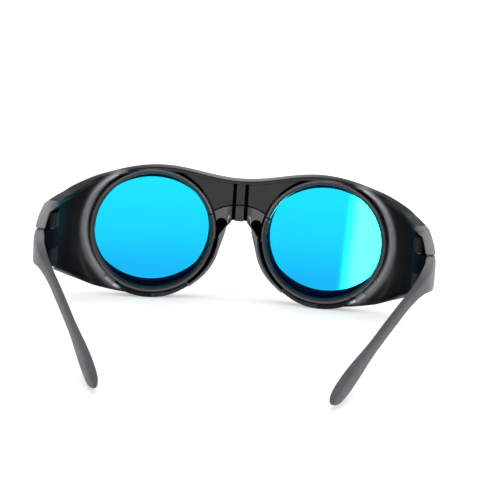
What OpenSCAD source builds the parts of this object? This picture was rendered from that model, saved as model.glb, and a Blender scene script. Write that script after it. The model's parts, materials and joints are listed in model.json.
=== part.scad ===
// Wraparound laser safety glasses with two round filter lenses and folding temples.
// X points to the wearer's right, Y forwards, Z up; the glasses rest on Z = 0.

/* [Lenses] */
// distance between the two lens centres
eye_spacing = 70.6; // [69.8:0.1:71.6]
// height of the lens centres above the table
eye_z = 27.9; // [27.7:0.1:28.1]
// depth position of the lens centres
lens_y = -2; // [-2.3:0.1:-1.8]
// how far each lens is turned back at its outer side, degrees
lens_wrap = 8; // [7.5:0.1:8.5]
// diameter of a filter lens
lens_d = 48.8; // [48:0.1:49]
// thickness of a filter lens
lens_t = 3; // [2.6:0.1:3]
// how far the ring behind a lens covers its edge
seat_w = 1; // [0.8:0.1:1.4]
// how far the rim in front of a lens covers its edge at the sides
lip_w = 0.8; // [0.6:0.1:1.4]
// how much further it covers the lens above and below
lip_more = 2.6; // [2.2:0.1:3.6]

/* [Front shell] */
// forward position of the middle of the shell
front_y = 7.6; // [7.4:0.1:8]
// plan radius of the front
front_r = 230; // [215:1:250]
// distance from a lens centre out to where the corner starts
corner_out = 24.2; // [24:0.1:24.4]
// plan radius of the corner between front and wing
corner_r = 20; // [19:0.5:21]
// plan radius of the wing
wing_r = 150; // [120:5:200]
// plan angle where the wing ends
wing_end_a = 81.4; // [81:0.1:82]
// wall thickness of the front
wall_t = 3; // [2.8:0.1:3.2]
// wall thickness at the rear edge of the wing
wing_t = 3.7; // [3.4:0.1:3.9]
// extra wall inside the corner between front and wing
corner_t = 1.1; // [0.6:0.1:1.4]
// height of the brow over the lenses
brow_z = 54.7; // [54.2:0.1:55.4]
// height of the brow over the nose
brow_mid_z = 50.4; // [50:0.1:51]
// height of the top edge of a wing
wing_top_z = 44.1; // [43.7:0.1:44.5]
// height of the bottom edge at the rear of a wing
wing_low_z = 18.9; // [18.5:0.1:19.3]
// how far both edges of a wing close in at its rear end
wing_round = 0.5; // [0.3:0.1:0.7]
// thickness of the ledge along the brow
brow_t = 1.9; // [1.6:0.1:2.2]
// depth of the ledge along the brow
brow_depth = 6.4; // [5.6:0.1:7]

/* [Rings and nose] */
// width of the raised ring behind a lens
ring_w = 2.2; // [2.1:0.1:2.4]
// width of the rim round that ring, below the lens and beside the nose
rim_w = 2.3; // [2.2:0.1:2.4]
// depth of the ring behind the lens
ring_depth = 2.1; // [2:0.1:2.4]
// height of the underside of the bridge
arch_z = 33.4; // [33:0.1:33.8]
// angle of the joint in the ring above the nose, degrees over the horizontal
seam_a = 18.5; // [17:0.5:19]
// angle of the outer end of the retainer, degrees below the horizontal
hook_a = 60; // [55:1:64]
// half width of the nose arch at its flat top
arch_w = 2.9; // [2.7:0.1:3.1]
// half width of the nose arch where its straight sides begin
arch_side_w = 5.2; // [5.1:0.1:5.4]
// angle where the straight side of the nose arch leaves the rim, degrees below the horizontal
cheek_a = 18; // [16:0.5:20]
// how far the nose flanges stand behind the bridge
flange_h = 3.2; // [2.6:0.1:4]
// width of the channel between a ring and its nose flange
channel_w = 1.5; // [1.2:0.1:1.8]
// radius of the round upper end of that channel
channel_r = 2.3; // [1.8:0.1:2.5]
// width of the rib in the middle of the bridge
rib_w = 3.7; // [3.3:0.1:4]
// width of each groove beside the rib
groove_w = 1.1; // [0.8:0.1:1.3]
// radius of the pins under the retainer
pin_r = 0.8; // [0.7:0.05:0.9]
// distance of the retainer's outer edge from the ring's radius
hook_w = 0.4; // [0.3:0.05:0.5]

/* [Hinges] */
// distance from a lens centre out to the hinge axis
hinge_out = 36.9; // [36.8:0.1:37]
// depth position of a hinge axis
axis_y = -34.5; // [-34.8:0.1:-34.2]
// radius of the hinge knuckles
knuckle_r = 1.95; // [1.8:0.05:2]
// radius of the hinge screw shank
screw_r = 0.8; // [0.7:0.05:0.9]
// radius of the hinge screw head
head_r = 1.6; // [1.4:0.1:1.8]
// height where the temple meets the wing
seam_z = 31; // [30.8:0.1:31.2]
// height of the top of the lower hinge lug
lug_z = 23.8; // [23.4:0.1:24.2]

/* [Temples] */
// height of the temple at the hinge
leaf_h = 14.4; // [13:0.1:14.6]
// thickness of the temple at the hinge
leaf_t = 4; // [3.6:0.1:4.1]
// height of the temple in the middle
arm_h = 5.8; // [5:0.1:7]
// thickness of the temple in the middle
arm_t = 2.7; // [2.3:0.1:3.2]
// height of the broad end of the temple
paddle_h = 8; // [6.5:0.1:9]
// thickness of the broad end of the temple
paddle_t = 3.9; // [3:0.1:4.5]
// length of the temple
temple_len = 126; // [118:1:134]

/* [Clearances] */
// clearance of the lenses, the retainer and its pins
fit = 0.05; // [0.03:0.01:0.08]
// gap between the temple and the wing
hinge_gap = 0.25; // [0.2:0.01:0.3]

/* [Hidden] */
$fn = 96;
eye_x = eye_spacing / 2;
axis_x = eye_x + hinge_out;
lens_r = lens_d / 2;
rear_open_r = lens_r - seat_w;
window_r = lens_r - lip_w;
window_half_h = window_r - lip_more;
ring_r = rear_open_r + ring_w;
rim_r = ring_r + rim_w;
pocket_r = lens_r + fit;
half_t = lens_t / 2;
lip_y = -half_t - ring_depth;
front_a = asin((eye_x + corner_out) / front_r);
corner_a = 72;
s_front = front_r * front_a * PI / 180;
s_corner = s_front + corner_r * (corner_a - front_a) * PI / 180;
s_end = s_corner + wing_r * (wing_end_a - corner_a) * PI / 180;
x_front = front_r * sin(front_a);
y_front = front_y - front_r * (1 - cos(front_a));
x_corner = x_front + corner_r * (sin(corner_a) - sin(front_a));
y_corner = y_front - corner_r * (cos(front_a) - cos(corner_a));
room_y = axis_y + 3 + hinge_gap + 0.32;
room_a = acos(cos(corner_a) - (y_corner - room_y) / wing_r);
s_room = s_corner + wing_r * (room_a - corner_a) * PI / 180;
web_y = -1.2;
floor_y = 2.3;
boss_r = ring_r + 0.3;
guard_r = ring_r + 0.15;
bite_a = fit / ring_r * 180 / PI;
hook_r = ring_r + hook_w;
hook_at = [0.45, -0.3];
pin_y = -half_t - 0.5;
pin_l = 2.9;
arch_drop = 2.5;
arch_low_z = arch_z - arch_drop;
bulge_mid_r = 110;
bulge_end_r = 37;
bulge_z = 26.1;
cheek_l = 14;
// the cheek crosses the rim a little inside its edge, at a clear angle
cheek_at = (rim_r - 0.15) * [-cos(cheek_a), -sin(cheek_a)];
cheek_end = cheek_at + cheek_l * [-sin(cheek_a), cos(cheek_a)];
// circle that gives the rear edge of the flanges, from the arch down to the rim
flange_mid_z = 18.8;
flange_half = arch_z - flange_mid_z;
flange_r = (flange_h * flange_h + flange_half * flange_half) / (2 * flange_h);
channel_x = eye_x - ring_r - channel_w - 1.1;
channel_z = arch_z - 1.1;
// moves the glasses so that the middle of their length is at Y = 0
row_y = 72.23;
black = [0.09, 0.09, 0.1];
grey = [0.3, 0.3, 0.31];
blue = [0.1, 0.75, 0.95, 0.7];
steel = [0.6, 0.6, 0.62];

// smooth rise from 0 to 1 between two places
function rise(s, a, b) = s <= a ? 0 : s >= b ? 1 : (1 - cos(180 * (s - a) / (b - a))) / 2;

// place and heading of the outer face at arc length s from the middle plane
function plan_half(s) =
    s <= s_front
    ? let (a = s / front_r * 180 / PI)
      [front_r * sin(a), front_y - front_r * (1 - cos(a)), a]
    : s <= s_corner
    ? let (a = front_a + (s - s_front) / corner_r * 180 / PI)
      [x_front + corner_r * (sin(a) - sin(front_a)),
       y_front - corner_r * (cos(front_a) - cos(a)), a]
    : let (a = corner_a + (s - s_corner) / wing_r * 180 / PI)
      [x_corner + wing_r * (sin(a) - sin(corner_a)),
       y_corner - wing_r * (cos(corner_a) - cos(a)), a];
function plan(s) = let (p = plan_half(abs(s))) s < 0 ? [-p.x, p.y, -p.z] : p;

// top and bottom edges, wall, bulge and ledges of the shell along its length
function top_z(s) = brow_mid_z + (brow_z - brow_mid_z) * rise(s, 0, 34)
                    - (brow_z - wing_top_z) * rise(s, 34, 87) - end_round(s);
function low_z(s) = wing_low_z * rise(s, 31, 156) / rise(s_end, 31, 156) + end_round(s);
function end_round(s) = wing_round * rise(s, 90, s_end);
function shell_t(s) = wall_t + (wing_t - wall_t) * rise(s, 60, s_end)
                      + corner_t * rise(s, s_front - 2, s_corner - 8)
                        * (1 - rise(s, s_corner - 8, s_corner + 6));
function bulge_r(s) = bulge_mid_r - (bulge_mid_r - bulge_end_r) * rise(s, 20, s_end);
function bulge(s, z) = let (r = bulge_r(s)) r - sqrt(r * r - pow(z - bulge_z, 2));
function ledge(s) = shell_t(s) + 1.6 + (brow_depth - wall_t - 1.6) * (1 - rise(s, 44, 84));
function low_ledge(s) = shell_t(s) + 0.7;

// one closed outline of the shell, as depth inwards and height, from height zb to the top
function shell_outline(s, zb, e) =
    let (t = shell_t(s), zt = top_z(s), d = ledge(s), ut = bulge(s, zt), ub = bulge(s, zb))
    concat(
        [for (k = [0:7]) let (z = zb + 0.9 + (zt - zb - 1.8) * k / 7) [bulge(s, z), z]],
        [[ut + 0.25, zt - 0.25], [ut + 0.9, zt]],
        [[ut + d - 0.6, zt - 0.1], [ut + d, zt - 0.6]],
        [[ut + d, zt - brow_t + 0.4], [ut + d - 0.4, zt - brow_t]],
        [[ut + t + 0.5, zt - brow_t], [ut + t, zt - brow_t - 0.7]],
        [for (k = [1:6]) let (z = zt - brow_t - 0.7 - (zt - zb - brow_t - 3) * k / 7)
            [bulge(s, z) + t, z]],
        [[ub + t, zb + 1.7], [ub + e, zb + 1.2], [ub + e, zb + 0.5], [ub + e - 0.5, zb]],
        [[ub + 0.9, zb], [ub + 0.25, zb + 0.25]]
    );

// solid through a row of closed outlines that all have the same number of points
module loft(rows) {
    n = len(rows);
    m = len(rows[0]);
    sides = [for (i = [0:n - 2], j = [0:m - 1])
        let (a = i * m + j, b = i * m + (j + 1) % m)
        each [[a, b, b + m], [a, b + m, a + m]]];
    first = [[for (j = [m - 1:-1:0]) j]];
    last = [[for (j = [0:m - 1]) (n - 1) * m + j]];
    polyhedron(points = [for (r = rows) each r], faces = concat(first, sides, last),
               convexity = 6);
}

module in_row() {
    translate([0, row_y, 0]) children();
}

module both_sides() {
    children();
    mirror([1, 0, 0]) children();
}

// places a child in the frame of the right eye, with Y along the lens axis
module at_eye() {
    translate([eye_x, lens_y, eye_z])
        rotate([0, 0, -lens_wrap])
            children();
}

// extrudes an outline drawn in X and Z from y0 to y1
module slab(y0, y1) {
    translate([0, y1, 0])
        rotate([90, 0, 0])
            linear_extrude(y1 - y0)
                children();
}

// part of a turned solid about the lens axis, its outline drawn as radius and minus depth
module turned(a0, a1) {
    rotate([90, 0, 0])
        rotate([0, 0, a0])
            rotate_extrude(angle = a1 - a0)
                children();
}

module wedge(a0, a1) {
    n = 6;
    polygon(concat([[0, 0]], [for (k = [0:n]) let (a = a0 + (a1 - a0) * k / n)
        50 * [cos(a), sin(a)]]));
}

// window in front of a lens: a circle flattened above and below by wider arcs
module window_shape() {
    flat_r = 27.4;
    intersection() {
        circle(window_r);
        translate([0, window_half_h - flat_r]) circle(flat_r);
        translate([0, flat_r - window_half_h]) circle(flat_r);
    }
}

// outline of a rim, with the straight cheek that narrows the nose arch towards its top
module rim_outline() {
    circle(rim_r);
    polygon([[0, 0], cheek_at, cheek_end, [0, cheek_end.y]]);
}

// opening for the nose, between the two rims
module nose_arch() {
    mid_x = eye_x + 2.3;
    low = rim_r + 8;
    slab(-20, 20)
        polygon([[-arch_w, arch_z], [arch_w, arch_z], [arch_side_w, arch_low_z],
                 [arch_side_w, eye_z - 5], [-arch_side_w, eye_z - 5],
                 [-arch_side_w, arch_low_z]]);
    both_sides()
        at_eye()
            slab(-30, 30)
                difference() {
                    translate([-mid_x, -low])
                        square([mid_x, low + arch_low_z - eye_z]);
                    rim_outline();
                }
}

// region of the bridge that the retainer covers, drawn in X and Z
module bridge_shape(grow) {
    intersection() {
        translate([0, 19.9]) circle(20 + grow);
        translate([-16, 26]) square([32, 20]);
    }
}

// outer boundary of the retainer ring, wider below than beside the nose
module retainer_shape(grow, more_a) {
    intersection() {
        translate(hook_at) circle(hook_r + grow);
        wedge(180 - seam_a - more_a, 360 - hook_a + more_a);
    }
}

// SHELL

// points of an outline placed at arc length s
function placed(s, outline) =
    let (p = plan(s)) [for (q = outline) [p.x - q.x * sin(p.z), p.y - q.x * cos(p.z), q.y]];

// the shell as far as the temples; above them its wings run on to the rear
module shell() {
    steps = concat([for (k = [0:11]) k * s_front / 12],
                   [for (k = [0:8]) s_front + (s_corner - s_front) * k / 8],
                   [for (k = [1:3]) s_corner + (s_room - s_corner) * k / 3],
                   [for (k = [0:2]) s_room + 0.1 + (s_end - s_room - 0.1) * k / 2]);
    n = len(steps);
    all = concat([for (k = [n - 1:-1:1]) steps[k]], [for (s = steps) -s]);
    loft([for (s = all) let (t = abs(s))
        placed(s, t > s_room + 0.05
            ? shell_outline(t, seam_z, shell_t(t) + 0.1)
            : shell_outline(t, low_z(t), low_ledge(t)))]);
}

// ring behind the lens that stays part of the front
module upper_ring() {
    turned(-hook_a, 180 - seam_a)
        polygon([[rear_open_r - 0.6, half_t - 0.6], [rear_open_r - 0.6, -lip_y - 1.4],
                 [rear_open_r + 0.8, -lip_y], [ring_r - 0.6, -lip_y],
                 [ring_r, -lip_y - 0.6], [ring_r, half_t - 0.6]]);
}

module eye_bosses() {
    both_sides()
        at_eye() {
            slab(-half_t, half_t + 1.6) circle(boss_r);
            upper_ring();
            slab(-half_t, half_t + 1.1)
                intersection() {
                    rim_outline();
                    wedge(148, 312);
                }
            slab(lip_y, -half_t)
                intersection() {
                    difference() {
                        circle(rim_r);
                        translate(hook_at) circle(hook_r + 0.35);
                    }
                    wedge(236, 360 - hook_a + 3);
                }
        }
}

// filled web between the rings, under the brow ledge
module web() {
    loft([for (s = [26:-4:-26])
        let (t = abs(s), p = plan(s), zt = top_z(t) - 1, zb = 26 + 9 * rise(t, 8, 26),
             back = (p.y - web_y) / cos(p.z))
        placed(s, concat([for (k = [0:5]) let (z = zb + (zt - zb) * k / 5)
                             [bulge(t, z) + 1.4, z]],
                         [[back, zt], [back, zb]]))]);
}

// grooves on both sides of the rib in the middle of the bridge
module rib_grooves() {
    for (k = [-1, 1])
        translate([k * (rib_w + groove_w) / 2 - groove_w / 2, web_y - 1, arch_z - 4])
            cube([groove_w, 2.5, 20]);
}

module lug_plan() {
    translate([axis_x, axis_y]) circle(knuckle_r);
    polygon([[axis_x - knuckle_r, axis_y], [axis_x + knuckle_r, axis_y],
             [axis_x + knuckle_r, axis_y + 3.4], [axis_x + 3.2, axis_y + 4.2],
             [axis_x + 0.6, axis_y + 11], [axis_x - 0.8, axis_y + 11],
             [axis_x - knuckle_r, axis_y + 5]]);
}

module hinge_lugs() {
    both_sides() {
        translate([0, 0, seam_z - leaf_h + 0.6])
            linear_extrude(lug_z - seam_z + leaf_h - 0.6) lug_plan();
        translate([0, 0, seam_z])
            linear_extrude(6) lug_plan();
    }
}

module screw_axis() {
    both_sides()
        translate([axis_x, axis_y, 0])
            children();
}

module front_frame() {
    color(black) in_row()
        difference() {
            union() {
                shell();
                eye_bosses();
                web();
                hinge_lugs();
            }
            // lens pockets, rear openings and front windows
            both_sides()
                at_eye() {
                    slab(-half_t, half_t) circle(pocket_r);
                    slab(-20, -half_t + 0.01) circle(rear_open_r);
                    slab(half_t - 0.01, 20) window_shape();
                    slab(-20, -half_t) retainer_shape(fit, bite_a);
                }
            // seat of the bridge of the retainer
            difference() {
                slab(-20, floor_y) bridge_shape(fit);
                both_sides()
                    at_eye()
                        slab(-half_t, 20) circle(ring_r - 0.2);
                both_sides()
                    at_eye()
                        slab(-20, 20)
                            intersection() {
                                circle(guard_r);
                                wedge(90, 180 - seam_a);
                            }
            }
            nose_arch();
            rib_grooves();
            retainer_pins(pin_r + fit, 0.3);
            screw_axis()
                translate([0, 0, 10]) cylinder(r = screw_r, h = seam_z - 10 + 5.2);
        }
}

// RETAINER

// forward pins under the retainer, or their holes
module retainer_pins(r, deeper) {
    both_sides()
        at_eye()
            for (a = [228, 262, 292])
                translate([hook_r * cos(a), pin_y, hook_r * sin(a)])
                    rotate([-90, 0, 0])
                        cylinder(r = r, h = pin_l + deeper);
    for (k = [-1, 1])
        translate([k * 4.8, floor_y - 0.5, arch_z + 3])
            rotate([-90, 0, 0])
                cylinder(r = r, h = 2.5 + deeper);
}

module retainer_ring() {
    at_eye() {
        difference() {
            slab(lip_y, -half_t) retainer_shape(0, 0);
            slab(-20, 20) circle(rear_open_r);
            turned(0, 360)
                polygon([[rear_open_r - 1, -lip_y - 0.8], [rear_open_r, -lip_y - 0.8],
                         [rear_open_r + 0.8, -lip_y], [rear_open_r + 0.8, 1 - lip_y],
                         [rear_open_r - 1, 1 - lip_y]]);
        }
    }
}

// blank of one nose flange, before the nose arch trims its outer side
module flange_blank() {
    intersection() {
        at_eye()
            slab(-20, -half_t)
                intersection() {
                    difference() {
                        rim_outline();
                        circle(ring_r + channel_w);
                    }
                    wedge(160, 236);
                }
        translate([0, web_y - flange_h + flange_r, flange_mid_z])
            rotate([0, 90, 0])
                cylinder(r = flange_r, h = 40);
    }
}

// channel between the ring and the flange, with its round upper end in the bridge
module flange_hollow() {
    slab(-20, floor_y - 1.2) {
        translate([channel_x, channel_z]) circle(channel_r);
        polygon([[channel_x - channel_r, channel_z], [channel_x + channel_r, channel_z],
                 [eye_x - ring_r - 0.2, eye_z], [eye_x - ring_r - channel_w, eye_z]]);
    }
}

module lens_retainer() {
    color(black) in_row()
        difference() {
            union() {
                both_sides() {
                    retainer_ring();
                    flange_blank();
                    at_eye()
                        slab(lip_y + 0.5, -half_t)
                            intersection() {
                                difference() {
                                    circle(rim_r);
                                    circle(rim_r - 3);
                                }
                                wedge(222, 235);
                            }
                }
                difference() {
                    slab(web_y, floor_y) bridge_shape(0);
                    both_sides()
                        at_eye() {
                            slab(-half_t, 20) circle(ring_r - 0.2 + fit);
                            slab(-20, 20)
                                intersection() {
                                    circle(guard_r + fit);
                                    wedge(90, 180 - seam_a + bite_a);
                                }
                            slab(-20, 20) circle(rear_open_r + 1.4);
                            slab(-20, 20)
                                translate([-40, -60]) square([40, 58]);
                        }
                }
                retainer_pins(pin_r, 0);
            }
            both_sides() flange_hollow();
            nose_arch();
            rib_grooves();
        }
}

// LENSES

module lens() {
    at_eye()
        rotate([90, 0, 0])
            rotate_extrude()
                polygon([[0, -half_t], [lens_r - 0.3, -half_t], [lens_r, 0.3 - half_t],
                         [lens_r, half_t - 0.3], [lens_r - 0.3, half_t], [0, half_t]]);
}

module right_lens() {
    color(blue) in_row() lens();
}

module left_lens() {
    color(blue) in_row() mirror([1, 0, 0]) lens();
}

// TEMPLES

// heading of the temple away from straight back, and its half sizes, by distance
function heading(s) = lookup(s, [[0, -8], [2, -6], [11, 13], [20, 19], [50, 19.5],
                                 [90, 18], [130, 15]]);
function half_high(s) =
    let (h = leaf_h / 2 + (arm_h - leaf_h) / 2 * pow(rise(s, -2, 30), 0.8)
             + (paddle_h - arm_h) / 2 * rise(s, 74, 106),
         e = max(0, (s - temple_len + 9) / 9))
    h * sqrt(max(0.02, 1 - pow(e, 2.4)));
function half_thick(s) =
    let (h = leaf_t / 2 + (arm_t - leaf_t) / 2 * rise(s, 8, 44)
             + (paddle_t - arm_t) / 2 * rise(s, 74, 106),
         e = max(0, (s - temple_len + 6) / 6))
    h * sqrt(max(0.06, 1 - pow(e, 2.4)));
temple_steps = concat([0, 2.5, 5, 8, 11, 14, 17, 20, 24, 28, 32, 37, 44],
                      [for (s = [52:8:84]) s],
                      [for (s = [89:5:temple_len - 9]) s],
                      [for (e = [6.5, 4.4, 2.8, 1.6, 0.7, 0]) temple_len - e]);
function path_x(i) = i == 0 ? axis_x + 4.2
    : let (a = temple_steps[i - 1], b = temple_steps[i])
      path_x(i - 1) - (b - a) * sin(heading((a + b) / 2));
function path_y(i) = i == 0 ? axis_y + 3
    : let (a = temple_steps[i - 1], b = temple_steps[i])
      path_y(i - 1) - (b - a) * cos(heading((a + b) / 2));
temple_z = seam_z - hinge_gap - leaf_h / 2;
// height of the middle line of the temple
function line_z(s) = lookup(s, [[0, temple_z], [7, temple_z + 0.5], [15, temple_z - 0.1],
                                [24, temple_z - 1.6],
                                [temple_len - 8.5, paddle_h / 2],
                                [temple_len, paddle_h / 2 - 0.46]]);
function power_cos(v, n) = sign(cos(v)) * pow(abs(cos(v)), 2 / n);
function power_sin(v, n) = sign(sin(v)) * pow(abs(sin(v)), 2 / n);

module temple_arm() {
    m = 20;
    rows = [for (i = [0:len(temple_steps) - 1])
        let (s = temple_steps[i], h = heading(s), n = 5 - 2.6 * rise(s, 6, 40),
             a = half_thick(s), b = half_high(s), x = path_x(i), y = path_y(i),
             z = line_z(s))
        [for (j = [0:m - 1])
            let (v = 360 * j / m, u = a * power_cos(v, n), w = b * power_sin(v, n))
            [x + u * cos(h), y - u * sin(h), z + w]]];
    loft([for (i = [len(rows) - 1:-1:0]) rows[i]]);
}

module temple() {
    z0 = lug_z + hinge_gap;
    z1 = seam_z - hinge_gap;
    difference() {
        union() {
            temple_arm();
            translate([axis_x, axis_y, z0]) cylinder(r = knuckle_r, h = z1 - z0 - 0.2);
            translate([axis_x, axis_y - knuckle_r, z0])
                cube([knuckle_r + 1.6, 2 * knuckle_r, z1 - z0 - 0.8]);
        }
        translate([axis_x, axis_y, 0])
            cylinder(r = screw_r + fit, h = 60);
    }
}

module right_temple() {
    color(grey) in_row() temple();
}

module left_temple() {
    color(grey) in_row() mirror([1, 0, 0]) temple();
}

// SCREWS

module hinge_screws() {
    z0 = seam_z - leaf_h + 0.6;
    color(steel) in_row()
        screw_axis()
            difference() {
                union() {
                    translate([0, 0, z0 - 1.1])
                        rotate_extrude()
                            polygon([[0, 0], [head_r - 0.3, 0], [head_r, 0.3],
                                     [head_r, 1.1], [0, 1.1]]);
                    translate([0, 0, z0 - 0.2]) cylinder(r = screw_r, h = seam_z - z0 + 5);
                }
                translate([-2, -0.2, z0 - 2]) cube([4, 0.4, 1.4]);
            }
}

front_frame();
lens_retainer();
left_lens();
right_lens();
left_temple();
right_temple();
hinge_screws();
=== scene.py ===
"""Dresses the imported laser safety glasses: smooth shells, filter glass, studio and camera."""
import json
import logging
import math
from dataclasses import dataclass, field
from enum import Enum, IntEnum
from functools import cached_property
from typing import Callable, Iterable, Sequence

import bmesh
import bpy
from mathutils import Matrix, Vector


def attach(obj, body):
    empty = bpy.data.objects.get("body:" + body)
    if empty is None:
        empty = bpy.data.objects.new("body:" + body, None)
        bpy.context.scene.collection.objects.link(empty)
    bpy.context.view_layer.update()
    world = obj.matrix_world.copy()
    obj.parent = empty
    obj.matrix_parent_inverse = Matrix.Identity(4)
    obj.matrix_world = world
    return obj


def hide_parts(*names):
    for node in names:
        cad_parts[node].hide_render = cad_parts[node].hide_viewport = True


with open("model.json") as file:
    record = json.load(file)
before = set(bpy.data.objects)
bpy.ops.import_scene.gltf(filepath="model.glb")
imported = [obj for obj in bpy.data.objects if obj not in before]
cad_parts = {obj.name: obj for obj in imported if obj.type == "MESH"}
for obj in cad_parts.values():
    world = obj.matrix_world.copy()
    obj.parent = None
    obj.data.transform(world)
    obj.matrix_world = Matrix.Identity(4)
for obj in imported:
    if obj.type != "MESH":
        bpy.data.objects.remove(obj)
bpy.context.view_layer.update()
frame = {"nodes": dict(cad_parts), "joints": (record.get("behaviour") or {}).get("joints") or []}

log = logging.getLogger("glasses")

MM = 0.001
"""One millimetre in scene units; the meshes are drawn in millimetres and shrunk at the end."""

ROUND = 240
"""Sides of a full circle."""


class Side(Enum):
    """A side of the glasses, as the wearer says it."""

    RIGHT = 1
    LEFT = -1


class Step(Enum):
    """What one solid does to another."""

    JOIN = "UNION"
    CUT = "DIFFERENCE"
    KEEP = "INTERSECT"


class Coat(IntEnum):
    """Place of each finish among the front's materials."""

    POLISHED = 0
    GRAINED = 1
    MATTE = 2
    DEEP = 3


def rise(s: float, a: float, b: float) -> float:
    """Smooth rise from 0 at a to 1 at b.

    Args:
        s: where to read the rise.
        a: where it starts.
        b: where it ends.

    Returns:
        A share from 0 to 1.
    """
    if s <= a:
        return 0.0
    if s >= b:
        return 1.0
    return (1 - math.cos(math.pi * (s - a) / (b - a))) / 2


def curve(s: float, pairs: Sequence[tuple[float, float]]) -> float:
    """Smooth line through the pairs, held level past both ends.

    Args:
        s: where to read.
        pairs: places in rising order, each with its value.

    Returns:
        The value at s.
    """
    i = max(0, min(len(pairs) - 2, sum(1 for place, _ in pairs if place < s) - 1))
    (a, va), (b, vb) = pairs[i], pairs[i + 1]
    steep = (vb - va) / (b - a)
    before = (va - pairs[i - 1][1]) / (a - pairs[i - 1][0]) if i else steep
    after = steep
    if i + 2 < len(pairs):
        after = (pairs[i + 2][1] - vb) / (pairs[i + 2][0] - b)
    m0 = 0.0 if before * steep < 0 else (before + steep) / 2
    m1 = 0.0 if after * steep < 0 else (after + steep) / 2
    u, h = max(0.0, min(1.0, (s - a) / (b - a))), b - a
    return ((2 * u ** 3 - 3 * u ** 2 + 1) * va + (u ** 3 - 2 * u ** 2 + u) * h * m0
            + (3 * u ** 2 - 2 * u ** 3) * vb + (u ** 3 - u ** 2) * h * m1)


def blend_max(a: float, b: float, soft: float) -> float:
    """The larger value, with a smooth change of lead over the width soft."""
    h = max(0.0, min(1.0, 0.5 + 0.5 * (b - a) / soft))
    return a + (b - a) * h + soft * h * (1 - h)


def arc(cx: float, cz: float, r: float, a0: float, a1: float, n: int) -> list[tuple[float, float]]:
    """Points along an arc, both ends included.

    Args:
        cx: first coordinate of the centre.
        cz: second coordinate of the centre.
        r: radius.
        a0: start angle in degrees.
        a1: end angle in degrees.
        n: number of steps.

    Returns:
        n + 1 points.
    """
    angles = [math.radians(a0 + (a1 - a0) * k / n) for k in range(n + 1)]
    return [(cx + r * math.cos(a), cz + r * math.sin(a)) for a in angles]


# Solids

def tidy(bm: bmesh.types.BMesh) -> bmesh.types.BMesh:
    """Merges doubles and points every face outwards.

    Args:
        bm: a closed shape.

    Returns:
        The same bmesh.
    """
    bmesh.ops.remove_doubles(bm, verts=bm.verts, dist=1e-5)
    bmesh.ops.recalc_face_normals(bm, faces=bm.faces)
    return bm


def capped(bm: bmesh.types.BMesh) -> bmesh.types.BMesh:
    """Closes the open ends of a tube and tidies it.

    Args:
        bm: a tube with open ends.

    Returns:
        The same bmesh, closed.
    """
    bmesh.ops.remove_doubles(bm, verts=bm.verts, dist=1e-5)
    open_edges = [e for e in bm.edges if e.is_boundary]
    bmesh.ops.holes_fill(bm, edges=open_edges, sides=0)
    return tidy(bm)


def prism(corners: Iterable[tuple[float, float, float]],
          shift: tuple[float, float, float]) -> bmesh.types.BMesh:
    """A flat outline pushed out into a solid.

    Args:
        corners: corner points of the outline.
        shift: how far the other face lies from it.

    Returns:
        A closed solid.
    """
    bm = bmesh.new()
    face = bm.faces.new([bm.verts.new(corner) for corner in corners])
    grown = bmesh.ops.extrude_face_region(bm, geom=[face])["geom"]
    far = [v for v in grown if isinstance(v, bmesh.types.BMVert)]
    bmesh.ops.translate(bm, vec=shift, verts=far)
    return tidy(bm)


def slab(outline: Sequence[tuple[float, float]], y0: float, y1: float) -> bmesh.types.BMesh:
    """A plate with an outline drawn in X and Z, from y0 to y1."""
    return prism([(x, y0, z) for x, z in outline], (0, y1 - y0, 0))


def upright(outline: Sequence[tuple[float, float]], z0: float, z1: float) -> bmesh.types.BMesh:
    """A solid with an outline drawn in X and Y, from z0 to z1."""
    return prism([(x, y, z0) for x, y in outline], (0, 0, z1 - z0))


def disc(radius: float, y0: float, y1: float, x: float = 0.0,
         z: float = 0.0) -> bmesh.types.BMesh:
    """A round plate about an axis along Y.

    Args:
        radius: its radius.
        y0: rear face.
        y1: front face.
        x: place of the axis.
        z: height of the axis.

    Returns:
        A closed solid.
    """
    return slab(arc(x, z, radius, 0, 360 * (1 - 1 / ROUND), ROUND - 1), y0, y1)


def wedge(radius: float, a0: float, a1: float, y0: float, y1: float) -> bmesh.types.BMesh:
    """A sector of a round plate about an axis along Y.

    Args:
        radius: its radius.
        a0: start angle in degrees.
        a1: end angle.
        y0: rear face.
        y1: front face.

    Returns:
        A closed solid.
    """
    steps = max(12, round((a1 - a0) * 0.8))
    return slab([(0.0, 0.0), *arc(0, 0, radius, a0, a1, steps)], y0, y1)


def spun(profile: Sequence[tuple[float, float]], a0: float, a1: float,
         steps: int) -> bmesh.types.BMesh:
    """Turns a closed profile about the Y axis.

    Args:
        profile: points as radius and Y.
        a0: start angle in degrees, from +X towards +Z.
        a1: end angle.
        steps: number of steps.

    Returns:
        A closed solid.
    """
    bm = bmesh.new()
    verts = [bm.verts.new((r, y, 0)) for r, y in profile]
    edges = [bm.edges.new((v, w)) for v, w in zip(verts, verts[1:] + verts[:1])]
    full = abs(a1 - a0 - 360) < 1e-6
    bmesh.ops.rotate(bm, verts=bm.verts, cent=(0, 0, 0),
                     matrix=Matrix.Rotation(math.radians(-a0), 3, "Y"))
    bmesh.ops.spin(bm, geom=verts + edges, cent=(0, 0, 0), axis=(0, -1, 0), dvec=(0, 0, 0),
                   angle=math.radians(a1 - a0), steps=steps, use_merge=full,
                   use_duplicate=False)
    return tidy(bm) if full else capped(bm)


def loft(sections: int, points: int,
         place: Callable[[int, int], Vector]) -> bmesh.types.BMesh:
    """A solid through a row of closed outlines.

    Args:
        sections: number of outlines.
        points: points in each outline.
        place: gives the place of a point of an outline.

    Returns:
        A closed solid.
    """
    bm = bmesh.new()
    bmesh.ops.create_grid(bm, x_segments=sections - 1, y_segments=points, size=1.0)
    for v in bm.verts:
        i = round((v.co.x + 1) / 2 * (sections - 1))
        j = round((v.co.y + 1) / 2 * points)
        v.co = place(i, j % points)
    return capped(bm)


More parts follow.
